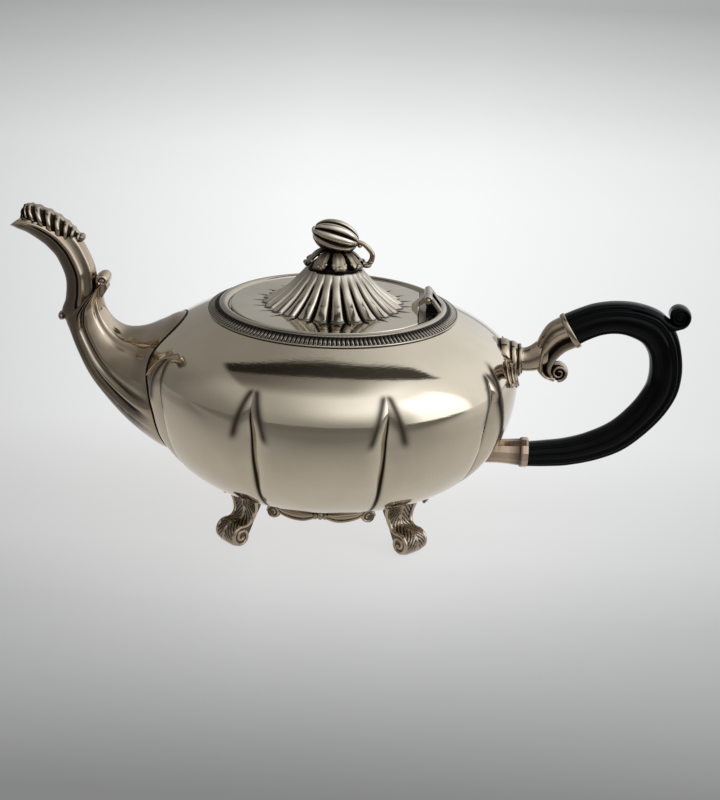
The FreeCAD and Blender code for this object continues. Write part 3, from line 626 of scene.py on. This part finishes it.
def rings(rows, way, steps, columns, relief=None, square=1.0):
    """Rings between two edge lines in the middle plane, with a breadth across them.
    The edges are given outwards from the belly and upwards from its height; relief is added outwards."""
    rows = through(rows, steps)
    none = np.zeros(steps)
    top, low = (np.stack([way * (belly_radius + rows[:, k]), none, belly_height + rows[:, k + 1]], -1)
                for k in (0, 2))
    half = (top - low) / 2
    length = np.linalg.norm(half, axis=1, keepdims=True)
    turn = turns(columns)[None, :]
    share = (1 - np.cos(turn)) / 2
    along = np.linspace(0, 1, steps)[:, None]
    extra = 0 if relief is None else relief(along, share)
    c, s = (np.sign(wave) * np.abs(wave) ** square for wave in (np.cos(turn), np.sin(turn)))
    return (((top + low) / 2)[:, None, :] + ((length + extra) * c)[..., None] * (half / length)[:, None, :]
            + ((rows[:, 4:5] / 2 + extra) * s)[..., None] * np.array([0.0, 1.0, 0.0])), along, share


def seam(grid):
    """Thin rod along the line where a grid of rings leaves the body."""
    reach, limit = reaches(grid)
    out = reach - limit
    path = []
    for column in range(grid.shape[1]):
        k = int(np.flatnonzero(out[:, column] < 0).max(initial=0))
        share = -out[k, column] / (out[k + 1, column] - out[k, column])
        path.append(grid[k, column] + (grid[k + 1, column] - grid[k, column]) * np.clip(share, 0, 1))
    path = np.array(path)
    for _ in range(3):
        path = (np.roll(path, 1, 0) + 2 * path + np.roll(path, -1, 0)) / 4
    return rod(np.vstack([path[-3:], path, path[:3]]), 0.5, 0.5, 8, side=(1.0, 0, 0))


def spout():
    """Scrolled calyx, grooved pipe and the leaf over the mouth."""
    calyx = [(-19.7, 21.0, -19.7, -38.0, 70.0), (-12.6, 20.4, -9.7, -35.6, 66.0),
             (-5.9, 17.3, -1.5, -31.0, 57.0), (1.0, 14.6, 8.3, -24.2, 41.0), (8.0, 14.3, 17.3, -15.2, 28.5),
             (13.2, 17.2, 24.0, -6.4, 22.0), (16.5, 21.9, 29.3, 4.0, 19.0), (17.7, 27.2, 32.4, 11.6, 17.5),
             (17.2, 31.6, 33.6, 14.6, 16.5), (15.8, 35.2, 33.8, 16.4, 15.0)]

    def rim(along):
        return np.interp(along, [0, 0.2, 0.5, 0.72, 0.85, 0.94, 1],
                         [0.58, 0.6, 0.645, 0.63, 0.52, 0.3, 0.06])

    def second(along):
        return np.interp(along, [0, 0.2, 0.5, 0.75, 1], [0.73, 0.74, 0.84, 0.83, 0.74])

    def calyx_relief(along, share):
        bar, vein = rim(along), second(along)
        calm = 1 - smooth(along, 0.72, 0.85)
        height = 1.25 + 0.5 * smooth(along, 0.6, 0.9)
        relief = height * line(share, bar - 0.01, 0.036) - 1.3 * line(share, bar + 0.07, 0.034)
        relief = relief - 0.7 * smooth(share - bar, 0.04, 0.12) * smooth(along, 0.5, 0.8)
        relief = relief - 0.8 * line(share, bar - 0.1, 0.04) * smooth(bar, 0.2, 0.5)
        relief = relief + 0.7 * line(share, vein - 0.02, 0.03) - 0.8 * line(share, vein + 0.04, 0.025)
        relief = relief + calm * (0.5 * line(share, 0.11, 0.03) - 0.4 * line(share, 0.17, 0.03))
        return smooth(along, 0.12, 0.3) * relief

    grid, along, share = rings(calyx, -1, 120, 128, calyx_relief)
    start, bar = smooth(along, 0.15, 0.3), rim(along)
    # Painted shade in the grooves beside the rim and the second vein, and on the calyx beyond the rim.
    dark = np.maximum(line(share, bar + 0.068, 0.03), 0.9 * line(share, second(along) + 0.04, 0.02))
    dark = np.maximum(dark, 0.75 * line(share, bar - 0.075, 0.022) * smooth(bar, 0.15, 0.4))
    dark = start * np.maximum(dark, 0.45 * smooth(share - bar, 0.08, 0.14))
    # Painted shade: a nearly black rod along the spout's joint with the body.
    shape = Shape().grid(seam(grid), 0.95)
    middle = grid[-1].mean(0)
    shut = [middle + (grid[-1] - middle) * size + np.array([2.0, 0, -2.6]) * sink
            for size, sink in ((0.9, 0.25), (0.8, 1.0), (0.4, 1.4))]
    whole = outside(np.concatenate([grid, np.stack(shut)]))
    # The closed end of the calyx is painted a little darker: painted shade.
    shape.grid(whole, np.concatenate([dark, np.full((3, 128), 0.3)]))

    pipe = [(15.5, 19.0, 28.5, 9.5, 12.0), (18.6, 27.0, 34.8, 18.6, 12.6), (19.8, 32.6, 33.2, 26.0, 12.0),
            (20.8, 39.6, 33.0, 34.3, 11.5), (24.0, 47.1, 36.1, 42.3, 11.5), (27.0, 51.8, 39.3, 46.3, 11.5),
            (31.0, 56.0, 42.5, 49.1, 11.5), (37.5, 59.4, 48.0, 52.6, 12.0), (44.6, 60.6, 51.6, 54.1, 12.2),
            (49.8, 58.9, 55.25, 55.5, 9.6)]

    def pipe_relief(along, share):
        fade = 1 - smooth(along, 0.8, 0.95)
        return fade * (0.5 * line(share, 0.45, 0.05) - 0.65 * line(share, 0.56, 0.05)
                       - 0.4 * line(share, 0.28, 0.09) + 0.25 * line(share, 0.12, 0.04))

    tube, along, share = rings(pipe, -1, 90, 80, pipe_relief)
    # Painted shade in the pipe's grooves and on its underside.
    dark = line(share, 0.56, 0.045) * (1 - smooth(along, 0.75, 0.9)) + 0.5 * line(share, 0.17, 0.025)
    dark = np.clip(dark + 0.5 * smooth(share, 0.58, 0.66) * (1 - smooth(along, 0.9, 1.0)), 0, 1)
    bore = []
    for k in range(30):
        row = tube[89 - k]
        bore.append(row.mean(0) + (row - row.mean(0)) * (0.82 if k else 0.88))
    # Painted shade inside the bore, darker the deeper it goes.
    deep = np.repeat(smooth(np.linspace(0.2, 1.6, 30))[:, None], 80, 1)
    shape.grid(np.concatenate([tube, np.stack(bore)]), np.concatenate([dark, deep]))

    leaf = [(25.5, 52.0, 30.3, 48.3, 6.0), (29.9, 56.8, 34.5, 50.4, 11.8), (36.8, 61.5, 41.0, 54.2, 13.2),
            (45.2, 64.5, 46.8, 57.6, 12.8), (49.2, 64.2, 50.3, 58.9, 9.6)]

    def strokes(along, share):
        return np.abs(np.sin(math.pi * (along * 8.0 + share * 1.5))) ** 2.2

    def leaf_relief(along, share):
        inner = (1 - smooth(share, 0.7, 0.78)) * smooth(share, 0.0, 0.04)
        return (inner * 0.95 * (strokes(along, share) - 0.8) + 0.6 * line(share, 0.86, 0.07)
                - 0.5 * line(share, 0.76, 0.03))

    top, along, share = rings(leaf, -1, 120, 88, leaf_relief)
    # Painted shade between the leaf's strokes and in the groove beside its edge; the leaf is also painted
    # darker towards its end.
    veined = (1 - smooth(share, 0.7, 0.78)) * smooth(share, 0.01, 0.04)
    dark = np.maximum(smooth(1 - strokes(along, share), 0.3, 0.6) * veined, line(share, 0.77, 0.035))
    shape.grid(top, np.maximum(dark, 0.8 * smooth(along, 0.88, 0.96)), caps=True)

    x, z = -(belly_radius + 17.0), belly_height + 34.6
    shape.grid(rod(spiral((x, z), 2.3, 0.6, 200, -1.2, 40), 1.15, 5.4, 14), caps=True)
    # The middle of the scroll is painted a little darker: painted shade.
    shape.grid(ball((x, 0, z), (2.0, 5.6, 2.0)), 0.35)
    shape.grid(ball((-112.6, 0, 83.2), (1.7, 3.6, 1.9)))
    shape.grid(ball((-103.6, 0, 116.8), (1.5, 3.0, 1.7)))
    for side in (1, -1):
        rows = [(21, 68, 0.0), (24, 73, 0.2), (28, 78, 0.3), (33, 80.4, 0.4), (37, 80.2, 0.4)]
        path = on_skin(through([(180 + side * a, z, lift) for a, z, lift in rows], 30))
        wide = np.interp(np.linspace(0, 1, 30), [0, 0.45, 0.62, 0.72, 0.85, 1],
                         [0.3, 0.45, 1.2, 0.8, 1.3, 0.7])
        shape.grid(rod(path, wide, 0.6, 16, side=(1.0, 0.6 * side, 0)), caps=True)
    piece("spout_cast", shape, "pot", ["spout"], cast_silver, 1.6)


# Handle and its sockets

def handle():
    """Black loop with a grooved outer edge that runs out into a thumb scroll."""
    loop = [(16.0, 28.0, 23.5, 15.6, 11.5), (23.0, 31.4, 28.0, 18.4, 11.8), (30.0, 34.0, 33.3, 20.7, 12.0),
            (39.2, 35.3, 38.5, 21.5, 12.3), (48.5, 34.6, 43.6, 20.8, 12.5), (57.5, 31.2, 49.3, 18.2, 12.5),
            (63.4, 24.0, 52.4, 14.0, 12.2), (66.6, 14.5, 53.5, 9.0, 12.0), (67.6, 4.7, 53.5, 3.4, 11.5),
            (65.8, -5.1, 52.1, -1.6, 11.5), (59.4, -16.1, 47.5, -9.2, 11.0),
            (48.0, -27.6, 39.9, -17.2, 11.0), (36.9, -33.5, 30.3, -22.5, 10.5),
            (24.1, -37.0, 21.8, -25.4, 10.5), (14.5, -38.1, 13.3, -26.9, 10.0),
            (5.4, -38.5, 5.4, -28.1, 10.0)]
    grooves = [(0.3, 0.05, 0.05), (-0.75, 0.14, 0.035), (0.5, 0.24, 0.05), (-0.4, 0.36, 0.05),
               (0.3, 0.55, 0.12), (-0.5, 0.83, 0.03), (0.3, 0.9, 0.04)]

    def relief(along, share):
        return -0.3 + sum(height * line(share, middle, width) for height, middle, width in grooves)

    grid, _, _ = rings(loop, 1, 220, 96, relief, 0.84)
    shape = Shape().grid(grid, caps=True)
    lead = [(112.5, 0, 97.4), (119.5, 0, 98.6), (126.5, 0, 97.8), (132.0, 0, 95.6), (136.2, 0, 92.6),
            (139.6, 0, 91.2)]
    ribbon = through(np.vstack([lead, spiral(scroll_centre, 4.1, 1.0, -78, 1.75, 40)]), 200)
    place = np.linspace(0, 1, 200)
    size = np.interp(place, [0, 0.04, 0.075, 0.1, 0.125, 0.2, 1], [0.6, 1.7, 2.3, 2.1, 1.5, 1.05, 0.6])
    wide = np.interp(place, [0, 0.04, 0.1, 1], [3.0, 4.4, 4.7, 4.4])
    shape.grid(rod(ribbon, size, wide, 24), caps=True)
    shape.grid([hoop(scroll_centre, 3.9, y, 40) for y in (-3.7, 3.7)], caps=True)
    piece("handle_loop", shape, "pot", ["handle_grip"], grip_black)


def upper_socket():
    """Hollowed horn with a collar, a curl under it and a waisted neck to the body."""
    horn = [(16.3, 27.6, 23.9, 15.9, 13.4), (10.9, 23.9, 19.2, 13.4, 12.4), (7.4, 17.8, 16.0, 10.3, 11.2),
            (6.0, 11.7, 14.2, 7.2, 10.0), (6.9, 5.8, 13.6, 4.9, 9.2), (10.0, 1.9, 14.2, 3.4, 8.8),
            (14.2, 0.1, 15.8, 2.4, 8.4)]

    def relief(along, share):
        fade = 1 - smooth(along, 0.75, 0.95)
        return fade * (-2.1 * line(share, 0.62, 0.15) + 0.7 * line(share, 0.36, 0.05)
                       + 0.6 * line(share, 0.88, 0.05) - 0.7 * line(share, 0.2, 0.05))

    grid, along, share = rings(horn, 1, 90, 72, relief, 0.85)
    # Painted shade in the horn's hollow channel and in the groove beside it.
    dark = np.maximum(0.95 * line(share, 0.66, 0.13), 0.75 * line(share, 0.2, 0.035))
    shape = Shape().grid(grid, dark * (1 - smooth(along, 0.8, 0.95)), caps=True)
    top, low = np.array([16.3, 27.6]), np.array([23.9, 15.9])
    up = (top - low) / np.linalg.norm(top - low)
    lean = np.array([up[1], -up[0]])
    bead = []
    for step, grow in ((-1.0, 0.0), (-0.9, 0.5), (-0.2, 0.8), (0.7, 0.8), (1.3, 0.5), (1.4, 0.0)):
        a, b = top + up * grow + lean * step, low - up * grow + lean * step
        bead.append((a[0], a[1], b[0], b[1], 13.4 + 2 * grow))
    shape.grid(rings(bead, 1, 24, 72, None, 0.85)[0], caps=True)
    curl = spiral(curl_centre, 3.4, 0.7, -95, 1.6, 70)
    shape.grid(rod(curl, np.linspace(1.15, 0.6, 70), np.linspace(4.2, 3.8, 70), 16), caps=True)
    # The sides of the curl are painted dark: painted shade.
    shape.grid([hoop(curl_centre, 3.3, y, 40) for y in (-3.2, 3.2)], 0.8, caps=True)
    neck = [(-6.5, 16.4, -4.0, 0.6, 14.5), (-2.2, 14.6, -1.0, 2.4, 12.6), (0.2, 13.9, 0.8, 3.2, 11.0),
            (1.8, 13.5, 2.2, 3.6, 9.6), (4.2, 14.4, 4.6, 3.7, 9.4), (7.6, 17.0, 8.2, 4.4, 9.8),
            (11.0, 18.5, 12.0, 7.0, 9.0)]

    def bands(along, share):
        return (0.55 * line(along, 0.2, 0.03) + 0.45 * line(along, 0.32, 0.025)
                - 0.4 * line(along, 0.26, 0.02))

    grid, along, share = rings(neck, 1, 70, 60, bands)
    # Painted shade in the groove between the neck's bands and below the second band.
    dark = (0.8 * line(along, 0.26, 0.02) + 0.7 * line(along, 0.37, 0.02)) * np.ones_like(share)
    shape.grid(outside(grid), dark, caps=True)
    piece("upper_socket_scroll", shape, "pot", ["handle_upper_socket"], cast_silver, 1.6)


def mount_leaf():
    """Ribbed rosette round the neck of the upper socket, and three curled lobes on each side of it."""
    flare = [(-15.0, 17.6, -5.0, -2.4, 20.0), (-9.4, 17.0, -2.4, -1.0, 18.0), (-5.0, 16.4, -0.8, 0.4, 15.4),
             (-1.8, 15.4, 0.6, 1.8, 13.0), (0.6, 14.6, 1.6, 2.8, 11.4)]

    def waves(along, share):
        return np.abs(np.sin(math.pi * (along * 3.5 + share * 0.8)))

    def ribs(along, share):
        return 0.75 * waves(along, share) ** 0.7 - 0.3

    grid, along, share = rings(flare, 1, 80, 60, ribs)
    # Painted shade between the rosette's ribs.
    shape = Shape().grid(outside(grid, 0.3), smooth(1 - waves(along, share), 0.4, 0.8))
    for side in (1, -1):
        lobes = [[(8, 76, 0.4), (12.5, 77, 0.3), (15.6, 75, 0.3), (17.4, 72.4, 0.3), (17.6, 70.2, 0.5),
                  (16, 69.6, 0.9)],
                 [(7, 74, 0.5), (10, 74.4, 0.4), (12.4, 72.4, 0.3), (13.6, 69.6, 0.4), (12.6, 67.6, 0.8)],
                 [(6, 71.4, 0.5), (8.4, 71.2, 0.4), (9.8, 69, 0.4), (9.4, 66.6, 0.8)]]
        for rows in lobes:
            path = on_skin(through([(side * a, z, lift) for a, z, lift in rows], 36))
            wide = 0.4 + 1.25 * np.sin(math.pi * np.linspace(0.08, 0.9, 36))
            shape.grid(rod(path, wide, 0.5, 14, side=(1.0, 0.25 * side, 0.2)), caps=True)
    piece("mount_leaf_curls", shape, "pot", ["handle_mount_leaf"], cast_silver, 1.6)


def lower_socket():
    """Faceted tube with a ring where it holds the foot of the handle."""
    rows = [(60, 32.2, 5.2), (66, 32.3, 5.1), (71.5, 32.5, 5.1), (76, 32.5, 5.35), (80.6, 32.5, 5.7),
            (81.2, 32.5, 6.3), (82.2, 32.5, 6.45), (83.4, 32.5, 6.45), (84.3, 32.5, 6.2), (84.5, 32.5, 5.2)]
    turn = np.radians(np.arange(0, 360, 30) + 15)
    grid = [np.stack([np.full(12, x), r * np.sin(turn), z + r * np.cos(turn)], -1) for x, z, r in rows]
    shade = np.zeros((len(rows), 12))
    # Painted shade where the tube flares into its ring.
    shade[4:6] = 0.6
    shape = Shape().grid(outside(np.stack(grid)), shade, caps=True)
    piece("lower_socket_facets", shape, "pot", ["handle_lower_socket"], warm_silver,
          flat=True)


def flush_pin(name, node, radius, reach, material):
    """Rivet filed level with its socket and plated over."""
    low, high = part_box(node)
    centre = ((low[0] + high[0]) / 2 - axis_x) / MM, (low[2] + high[2]) / 2 / MM
    shape = Shape().grid([hoop(centre, radius, y, 24) for y in (-reach, reach)], caps=True)
    piece(name, shape, "pot", [node], material)


# Feet and aprons

def half_width(height):
    """Half the width of a foot at a height."""
    return 5.5 + 2.8 * smooth(height, 8.5, 21)


def foot(name, node, angle):
    """Veined leaf leg that rolls up at the toe, with a scrolled edge on each side."""
    outline = through([(47.6, 23.0), (46.2, 18.5), (45.4, 14.5), (46.2, 11.2), (49.0, 9.9), (52.6, 9.7),
                       (55.4, 7.6), (55.9, 4.4), (54.2, 1.3), (51.2, 0.05), (48.4, 1.4), (46.0, 5.0),
                       (43.6, 10.0), (42.2, 15.0), (41.4, 20.5)], 84)
    way = np.gradient(outline, axis=0)
    normal = unit(np.stack([-way[:, 1], way[:, 0]], 1))
    length = np.concatenate([[0], np.cumsum(np.linalg.norm(np.diff(outline, axis=0), axis=1))])[:, None]
    half = half_width(outline[:, 1])[:, None]
    across = np.linspace(-1, 1, 41)[None, :]
    front = 1 - smooth(length, 24, 30)
    tilt = np.abs(np.sin(math.pi * (length - 1.3 * np.abs(across) * half) / 2.2))
    veins = 0.6 * (tilt - 0.7) * smooth(np.abs(across), 0.1, 0.25) + 0.5 * line(across, 0, 0.1)
    relief = front * veins - 1.1 * np.abs(across) ** 5
    reach = outline[:, :1] + normal[:, :1] * relief
    level = np.maximum(outline[:, 1:] + normal[:, 1:] * relief, 0.02)
    grid = np.stack([reach, across * half, level], -1)
    # Painted shade in the grooves between the veins on the front of the leaf, which is also painted darker
    # away from its midrib.
    dark = front * (0.25 + 0.65 * smooth(1 - tilt, 0.3, 0.75)) * smooth(np.abs(across), 0.08, 0.16)
    shape = Shape().grid(grid, dark, closed=False)
    for column, turned in ((0, 1), (40, -1)):
        edge = grid[:, column]
        # The sides of the leg are painted darker: painted shade.
        strip = np.stack([edge[:42], edge[:41:-1]], 1)
        shape.grid(strip[:, ::turned], 0.55, closed=False)
    for side in (1, -1):
        leg = [(46.8, 22.0), (45.5, 18.0), (44.9, 14.5), (45.6, 11.3), (48.0, 9.3)]
        curl = spiral((51.0, 5.0), 4.3, 0.9, 100, -1.75, 40)[:, [0, 2]]
        path = through(np.vstack([leg, curl[1:]]), 130)
        path = np.stack([path[:, 0], side * 0.98 * half_width(path[:, 1]), path[:, 1]], -1)
        shape.grid(rod(path, 0.8, 0.9, 12), caps=True)
    piece(name, shape.turned(angle), "pot", [node], cast_silver, 1.2)


def apron(name, node, angle):
    """Two crescent bars with a knot between them and a volute at each end, bent round the body's foot."""
    shape = Shape()

    def bend(rows):
        angle, reach, height = np.asarray(rows, float).T
        return polar(reach, np.radians(angle), height)

    for side in (1, -1):
        bar = [(3.6, 46.0, 18.9), (8, 46.0, 18.3), (13, 46.0, 18.4), (18, 45.9, 18.9), (21.4, 45.7, 19.6)]
        lip = [(3.4, 46.5, 17.8), (8, 46.7, 16.7), (13, 46.7, 16.7), (18, 46.5, 17.4), (21.8, 46.1, 18.4)]
        fat = 0.6 + 0.95 * np.sin(math.pi * np.linspace(0.04, 0.96, 40))
        for rows, across, breadth, columns in ((bar, fat, 0.9, 16), (lip, 0.48, 0.55, 10)):
            path = bend(through([(side * a, r, z) for a, r, z in rows], 40))
            shape.grid(rod(path, across, breadth, columns, side=(1.0, 0, 0)), caps=True)
        edge = bend([(side * 24.4, 45.6, 17.7)])[0]
        around = np.linspace(0, TAU * 1.6, 50)
        size = np.linspace(2.8, 0.6, 50)
        along = side * (24.4 + np.degrees(size * np.cos(around) / 45.6))
        sweep = np.stack([along, np.full(50, 46.1), 17.7 + size * np.sin(around)], -1)
        shape.grid(rod(bend(sweep), 0.58, 0.85, 10, side=(1.0, 0, 0)), caps=True)
        # The middle of each volute is painted darker: painted shade.
        shape.grid(ball(edge, (1.2, 2.8, 2.8)), 0.55)
        shape.grid(ball(bend([(side * 2.4, 46.1, 18.4)])[0], (1.0, 1.2, 1.3)))
    shape.grid(ball((46.1, 0, 18.7), (1.1, 1.3, 1.7)))
    # Painted shade: a dark strip behind the bars.
    strip = [bend([(a, r, z) for a in np.linspace(-25, 25, 60)])
             for r, z in ((44.9, 20.8), (45.6, 19.4), (45.5, 17.4))]
    shape.grid(strip, 0.75, closed=False)
    piece(name, shape.turned(angle), "pot", [node], cast_silver, 1.2)


# Hinge

def hinge():
    """Fixed half of the hinge: plate behind the lid's straight edge, two knuckles and sloping backs."""
    shape = Shape()
    across = np.linspace(-22.6, 22.6, 40)
    back = np.sqrt((mouth_radius - 0.1) ** 2 - across ** 2)
    front = np.full(40, hinge_chord + 0.2)
    rows = [(front, 92.5), (front, plate_top - 0.1), (front * 0.4 + back * 0.6, plate_top),
            (back, plate_top), (back, 92.5)]
    # The plate under the hinge is painted a little darker: painted shade.
    shape.grid([np.stack([x, across, np.full(40, z)], -1) for x, z in rows], 0.35, closed=False)
    slope = [(40.4, 99.9), (41.9, 98.1), (43.5, 96.0), (44.7, 94.5), (43.7, 94.2), (42.6, 95.6),
             (41.1, 97.5), (39.7, 99.0)]
    core = [(38.1, 93.8), (43.3, 93.8), (42.3, 95.2), (40.6, 97.4), (38.7, 97.6)]
    for start, end in ((-8.0, -3.3), (3.3, 8.0)):
        barrel = [(start, 1.0), (start, 1.5), (start + 0.2, knuckle_radius), (end - 0.2, knuckle_radius),
                  (end, 1.5), (end, 1.0)]
        shape.grid([hoop((hinge_x, hinge_height), size, y, 32) for y, size in barrel], caps=True)
        # The core under each knuckle is painted black: painted shadow in the gap under the barrel.
        for outline, inset, shade in ((slope, 0.0, 0.0), (core, 0.35, 1.0)):
            ends = start + inset, end - inset
            shape.grid([[(x, y, z) for x, z in outline] for y in ends], shade, caps=True)
    piece("hinge_back", shape, "pot", ["hinge_fixed_leaf"], lid_silver, flat=True)


hinge()
body()
border()
lid()
finial()
spout()
handle()
upper_socket()
mount_leaf()
lower_socket()
flush_pin("upper_rivet", "handle_upper_pin", 1.1, 4.6, cast_silver)
flush_pin("lower_rivet", "handle_lower_pin", 1.1, 4.4, warm_silver)
for place, turn in (("front_left", 225), ("front_right", 315), ("back_right", 45), ("back_left", 135)):
    foot("leaf_" + place, "foot_" + place, turn)
for place, turn in (("front", 270), ("handle_side", 0), ("back", 90), ("spout_side", 180)):
    apron("scroll_" + place, "apron_" + place, turn)

for node, material in (("lid_seat", sheet_silver), ("lid_bezel", lid_silver),
                       ("hinge_lid_leaf", lid_silver), ("hinge_pin", brass), ("finial_stud", brass),
                       ("finial_washer", brass), ("finial_nut", brass)):
    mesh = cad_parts[node].data
    mesh.materials.clear()
    mesh.materials.append(material)


# Floor

def floor():
    """Pale table with painted light: a painted pool of light, whitest behind the pot and greyer towards the
    viewer, far away and to the sides.
    """
    mesh = bpy.data.meshes.new("table")
    corners, radius = 128, 8.0
    disc = lathe([[radius, 0.0]], corners)[0]
    mesh.from_pydata(disc.tolist(), [], [list(range(corners))])
    material, nodes, links, shader = new_material("table")
    calc, scale = partial(calculate, nodes, links), partial(remap, nodes, links)
    x, y, _ = axes(nodes, links, "Object")
    # Painted light: greys by the distance behind the pot's middle, and by how far to the side they are
    # seen.
    near, far, wide = -0.4, 2.6, 0.6
    stops = [(-0.4, 0.2), (-0.21, 0.24), (-0.184, 0.315), (-0.154, 0.42), (-0.119, 0.55), (-0.08, 0.70),
             (-0.036, 0.82), (0.1, 0.97), (0.466, 1.0), (0.63, 1.0), (0.86, 0.96), (1.175, 0.82),
             (1.65, 0.66), (2.46, 0.485)]
    greys = [((place - near) / (far - near), (g, g * 0.997, g * 0.992)) for place, g in stops]
    colour = ramp(nodes, links, scale(y, near, far), greys)
    distance = calc("MAXIMUM", calc("ADD", y, 0.65), 0.2)
    aside = calc("DIVIDE", x, distance)
    sides = [(-0.6, 0.36), (-0.42, 0.42), (-0.26, 0.72), (-0.14, 0.88), (-0.05, 0.985), (0.05, 0.985),
             (0.14, 0.91), (0.27, 0.79), (0.5, 0.95)]
    greys = [((place + wide) / (2 * wide), g) for place, g in sides]
    fall = ramp(nodes, links, scale(aside, -wide, wide), greys)
    ahead = scale(y, -0.19, -0.09)
    fall = mix(nodes, links, ahead, (1.04, 1.04, 1.04), fall)
    grain = ramp(nodes, links, noise(nodes, links, 900, 2), [(0.0, 0.988), (1.0, 1.0)])
    for factor in (fall, grain):
        colour = mix(nodes, links, 1.0, colour, factor, "MULTIPLY")
    # The floor glows with these painted greys for camera, glossy and transmission rays, so the pot's shadow
    # on it stays faint.
    path = nodes.new("ShaderNodeLightPath")
    seen = calc("MAXIMUM", path.outputs["Is Camera Ray"], path.outputs["Is Glossy Ray"])
    seen = calc("MAXIMUM", seen, path.outputs["Is Transmission Ray"])
    links.new(colour, shader.inputs["Base Color"])
    shader.inputs["Roughness"].default_value = 0.9
    shader.inputs["Specular IOR Level"].default_value = 0.0
    glow = nodes.new("ShaderNodeEmission")
    links.new(colour, glow.inputs["Color"])
    links.new(seen, glow.inputs["Strength"])
    both = nodes.new("ShaderNodeMixShader")
    both.inputs[0].default_value = 0.8
    links.new(shader.outputs["BSDF"], both.inputs[1])
    links.new(glow.outputs["Emission"], both.inputs[2])
    links.new(both.outputs["Shader"], nodes["Material Output"].inputs["Surface"])
    mesh.materials.append(material)
    thing = put("table", mesh)


floor()


# Studio light, all from the surroundings

def surroundings():
    """Soft room, dimmer on the spout side, with a dark strip overhead and a window by the handle."""
    world = bpy.data.worlds.new("studio")
    bpy.context.scene.world = world
    world.use_nodes = True
    nodes, links = world.node_tree.nodes, world.node_tree.links
    x, y, z = axes(nodes, links, "Generated")
    calc, step = partial(calculate, nodes, links), partial(remap, nodes, links, kind="SMOOTHSTEP")

    def times(*values):
        return reduce(partial(calc, "MULTIPLY"), values)

    def plus(*values):
        return reduce(partial(calc, "ADD"), values)

    flat = calc("MAXIMUM", z, 0.05)
    q = calc("DIVIDE", y, flat)
    p = calc("DIVIDE", x, flat)
    bow = calc("SUBTRACT", q, times(step(p, -0.1, 0.1, 0.43, 0.6), p, p))
    edge = plus(bow, step(p, 0.1, 0.35, 0.0, -0.035), step(p, 0.4, 0.75, 0.0, 0.22))
    azimuth = calc("ARCTAN2", x, calc("MULTIPLY", y, -1.0))
    behind = step(y, -0.1, 0.3)
    far = step(x, -0.35, 0.65, 0.34, 1.2)
    high = step(x, -0.5, 0.45, 0.55, 1.6)
    low = step(x, 0.3, 0.9, 0.4, 0.8)
    front = plus(times(step(z, 0.0, 0.75), high), times(step(z, 0.0, 0.75, 1.0, 0.0), low))
    base = plus(times(far, behind), times(front, calc("SUBTRACT", 1.0, behind)))
    span = times(step(p, -0.72, -0.66), step(p, 0.66, 0.8, 1.0, 0.0), step(z, 0.4, 0.6))
    strip = times(step(bow, 0.09, 0.13), step(edge, 0.30, 0.325, 1.0, 0.0), span)
    near = times(step(bow, -0.5, -0.05), step(bow, 0.09, 0.13, 1.0, 0.0), span,
                 step(p, 0.1, 0.5, 1.0, 0.0))
    left = step(x, -0.9, -0.6, 1.0, 0.0)
    window = times(step(azimuth, 0.85, 1.1), step(azimuth, 1.58, 1.7, 1.0, 0.0), step(z, -0.02, 0.04),
                   step(z, 0.66, 0.84, 1.0, 0.0))
    shade = times(calc("SUBTRACT", 1.0, times(0.93, strip)), calc("SUBTRACT", 1.0, times(0.6, near)),
                  calc("SUBTRACT", 1.0, times(0.3, left)))
    level = plus(times(base, shade), times(1.1, window))
    level = times(level, step(z, -0.02, 0.0, 0.6, 1.0))
    tint = nodes.new("ShaderNodeCombineColor")
    for socket, share, power in zip(tint.inputs, (1.0, 1.04, 1.08), (1.0, 1.03, 1.08)):
        links.new(times(share, calc("POWER", level, power)), socket)
    background = nodes["Background"]
    links.new(tint.outputs["Color"], background.inputs["Color"])
    background.inputs["Strength"].default_value = 1.0


surroundings()


# Camera

def camera():
    """Viewpoint a little above the pot, on its front side."""
    turn, rise, roll = (math.radians(angle) for angle in (1.975, 19.726, 2.224))
    distance = 0.64
    back = Vector((math.sin(turn) * math.cos(rise), -math.cos(turn) * math.cos(rise), math.sin(rise)))
    right = (-back).cross(Vector((0, 0, 1))).normalized()
    up = right.cross(-back)
    level = right * math.cos(roll) + up * math.sin(roll)
    tall = up * math.cos(roll) - right * math.sin(roll)
    target = Vector((12.564 * MM + axis_x, 0, 52.178 * MM))
    data = bpy.data.cameras.new("camera")
    data.sensor_width = 36.0
    data.lens = 68.475
    data.clip_start = 0.01
    eye = put("camera", data)
    aim = Matrix((level, tall, back)).transposed().to_4x4()
    eye.matrix_world = Matrix.Translation(target + back * distance) @ aim
    bpy.context.scene.camera = eye


camera()
bpy.context.scene.view_settings.view_transform = "Standard"
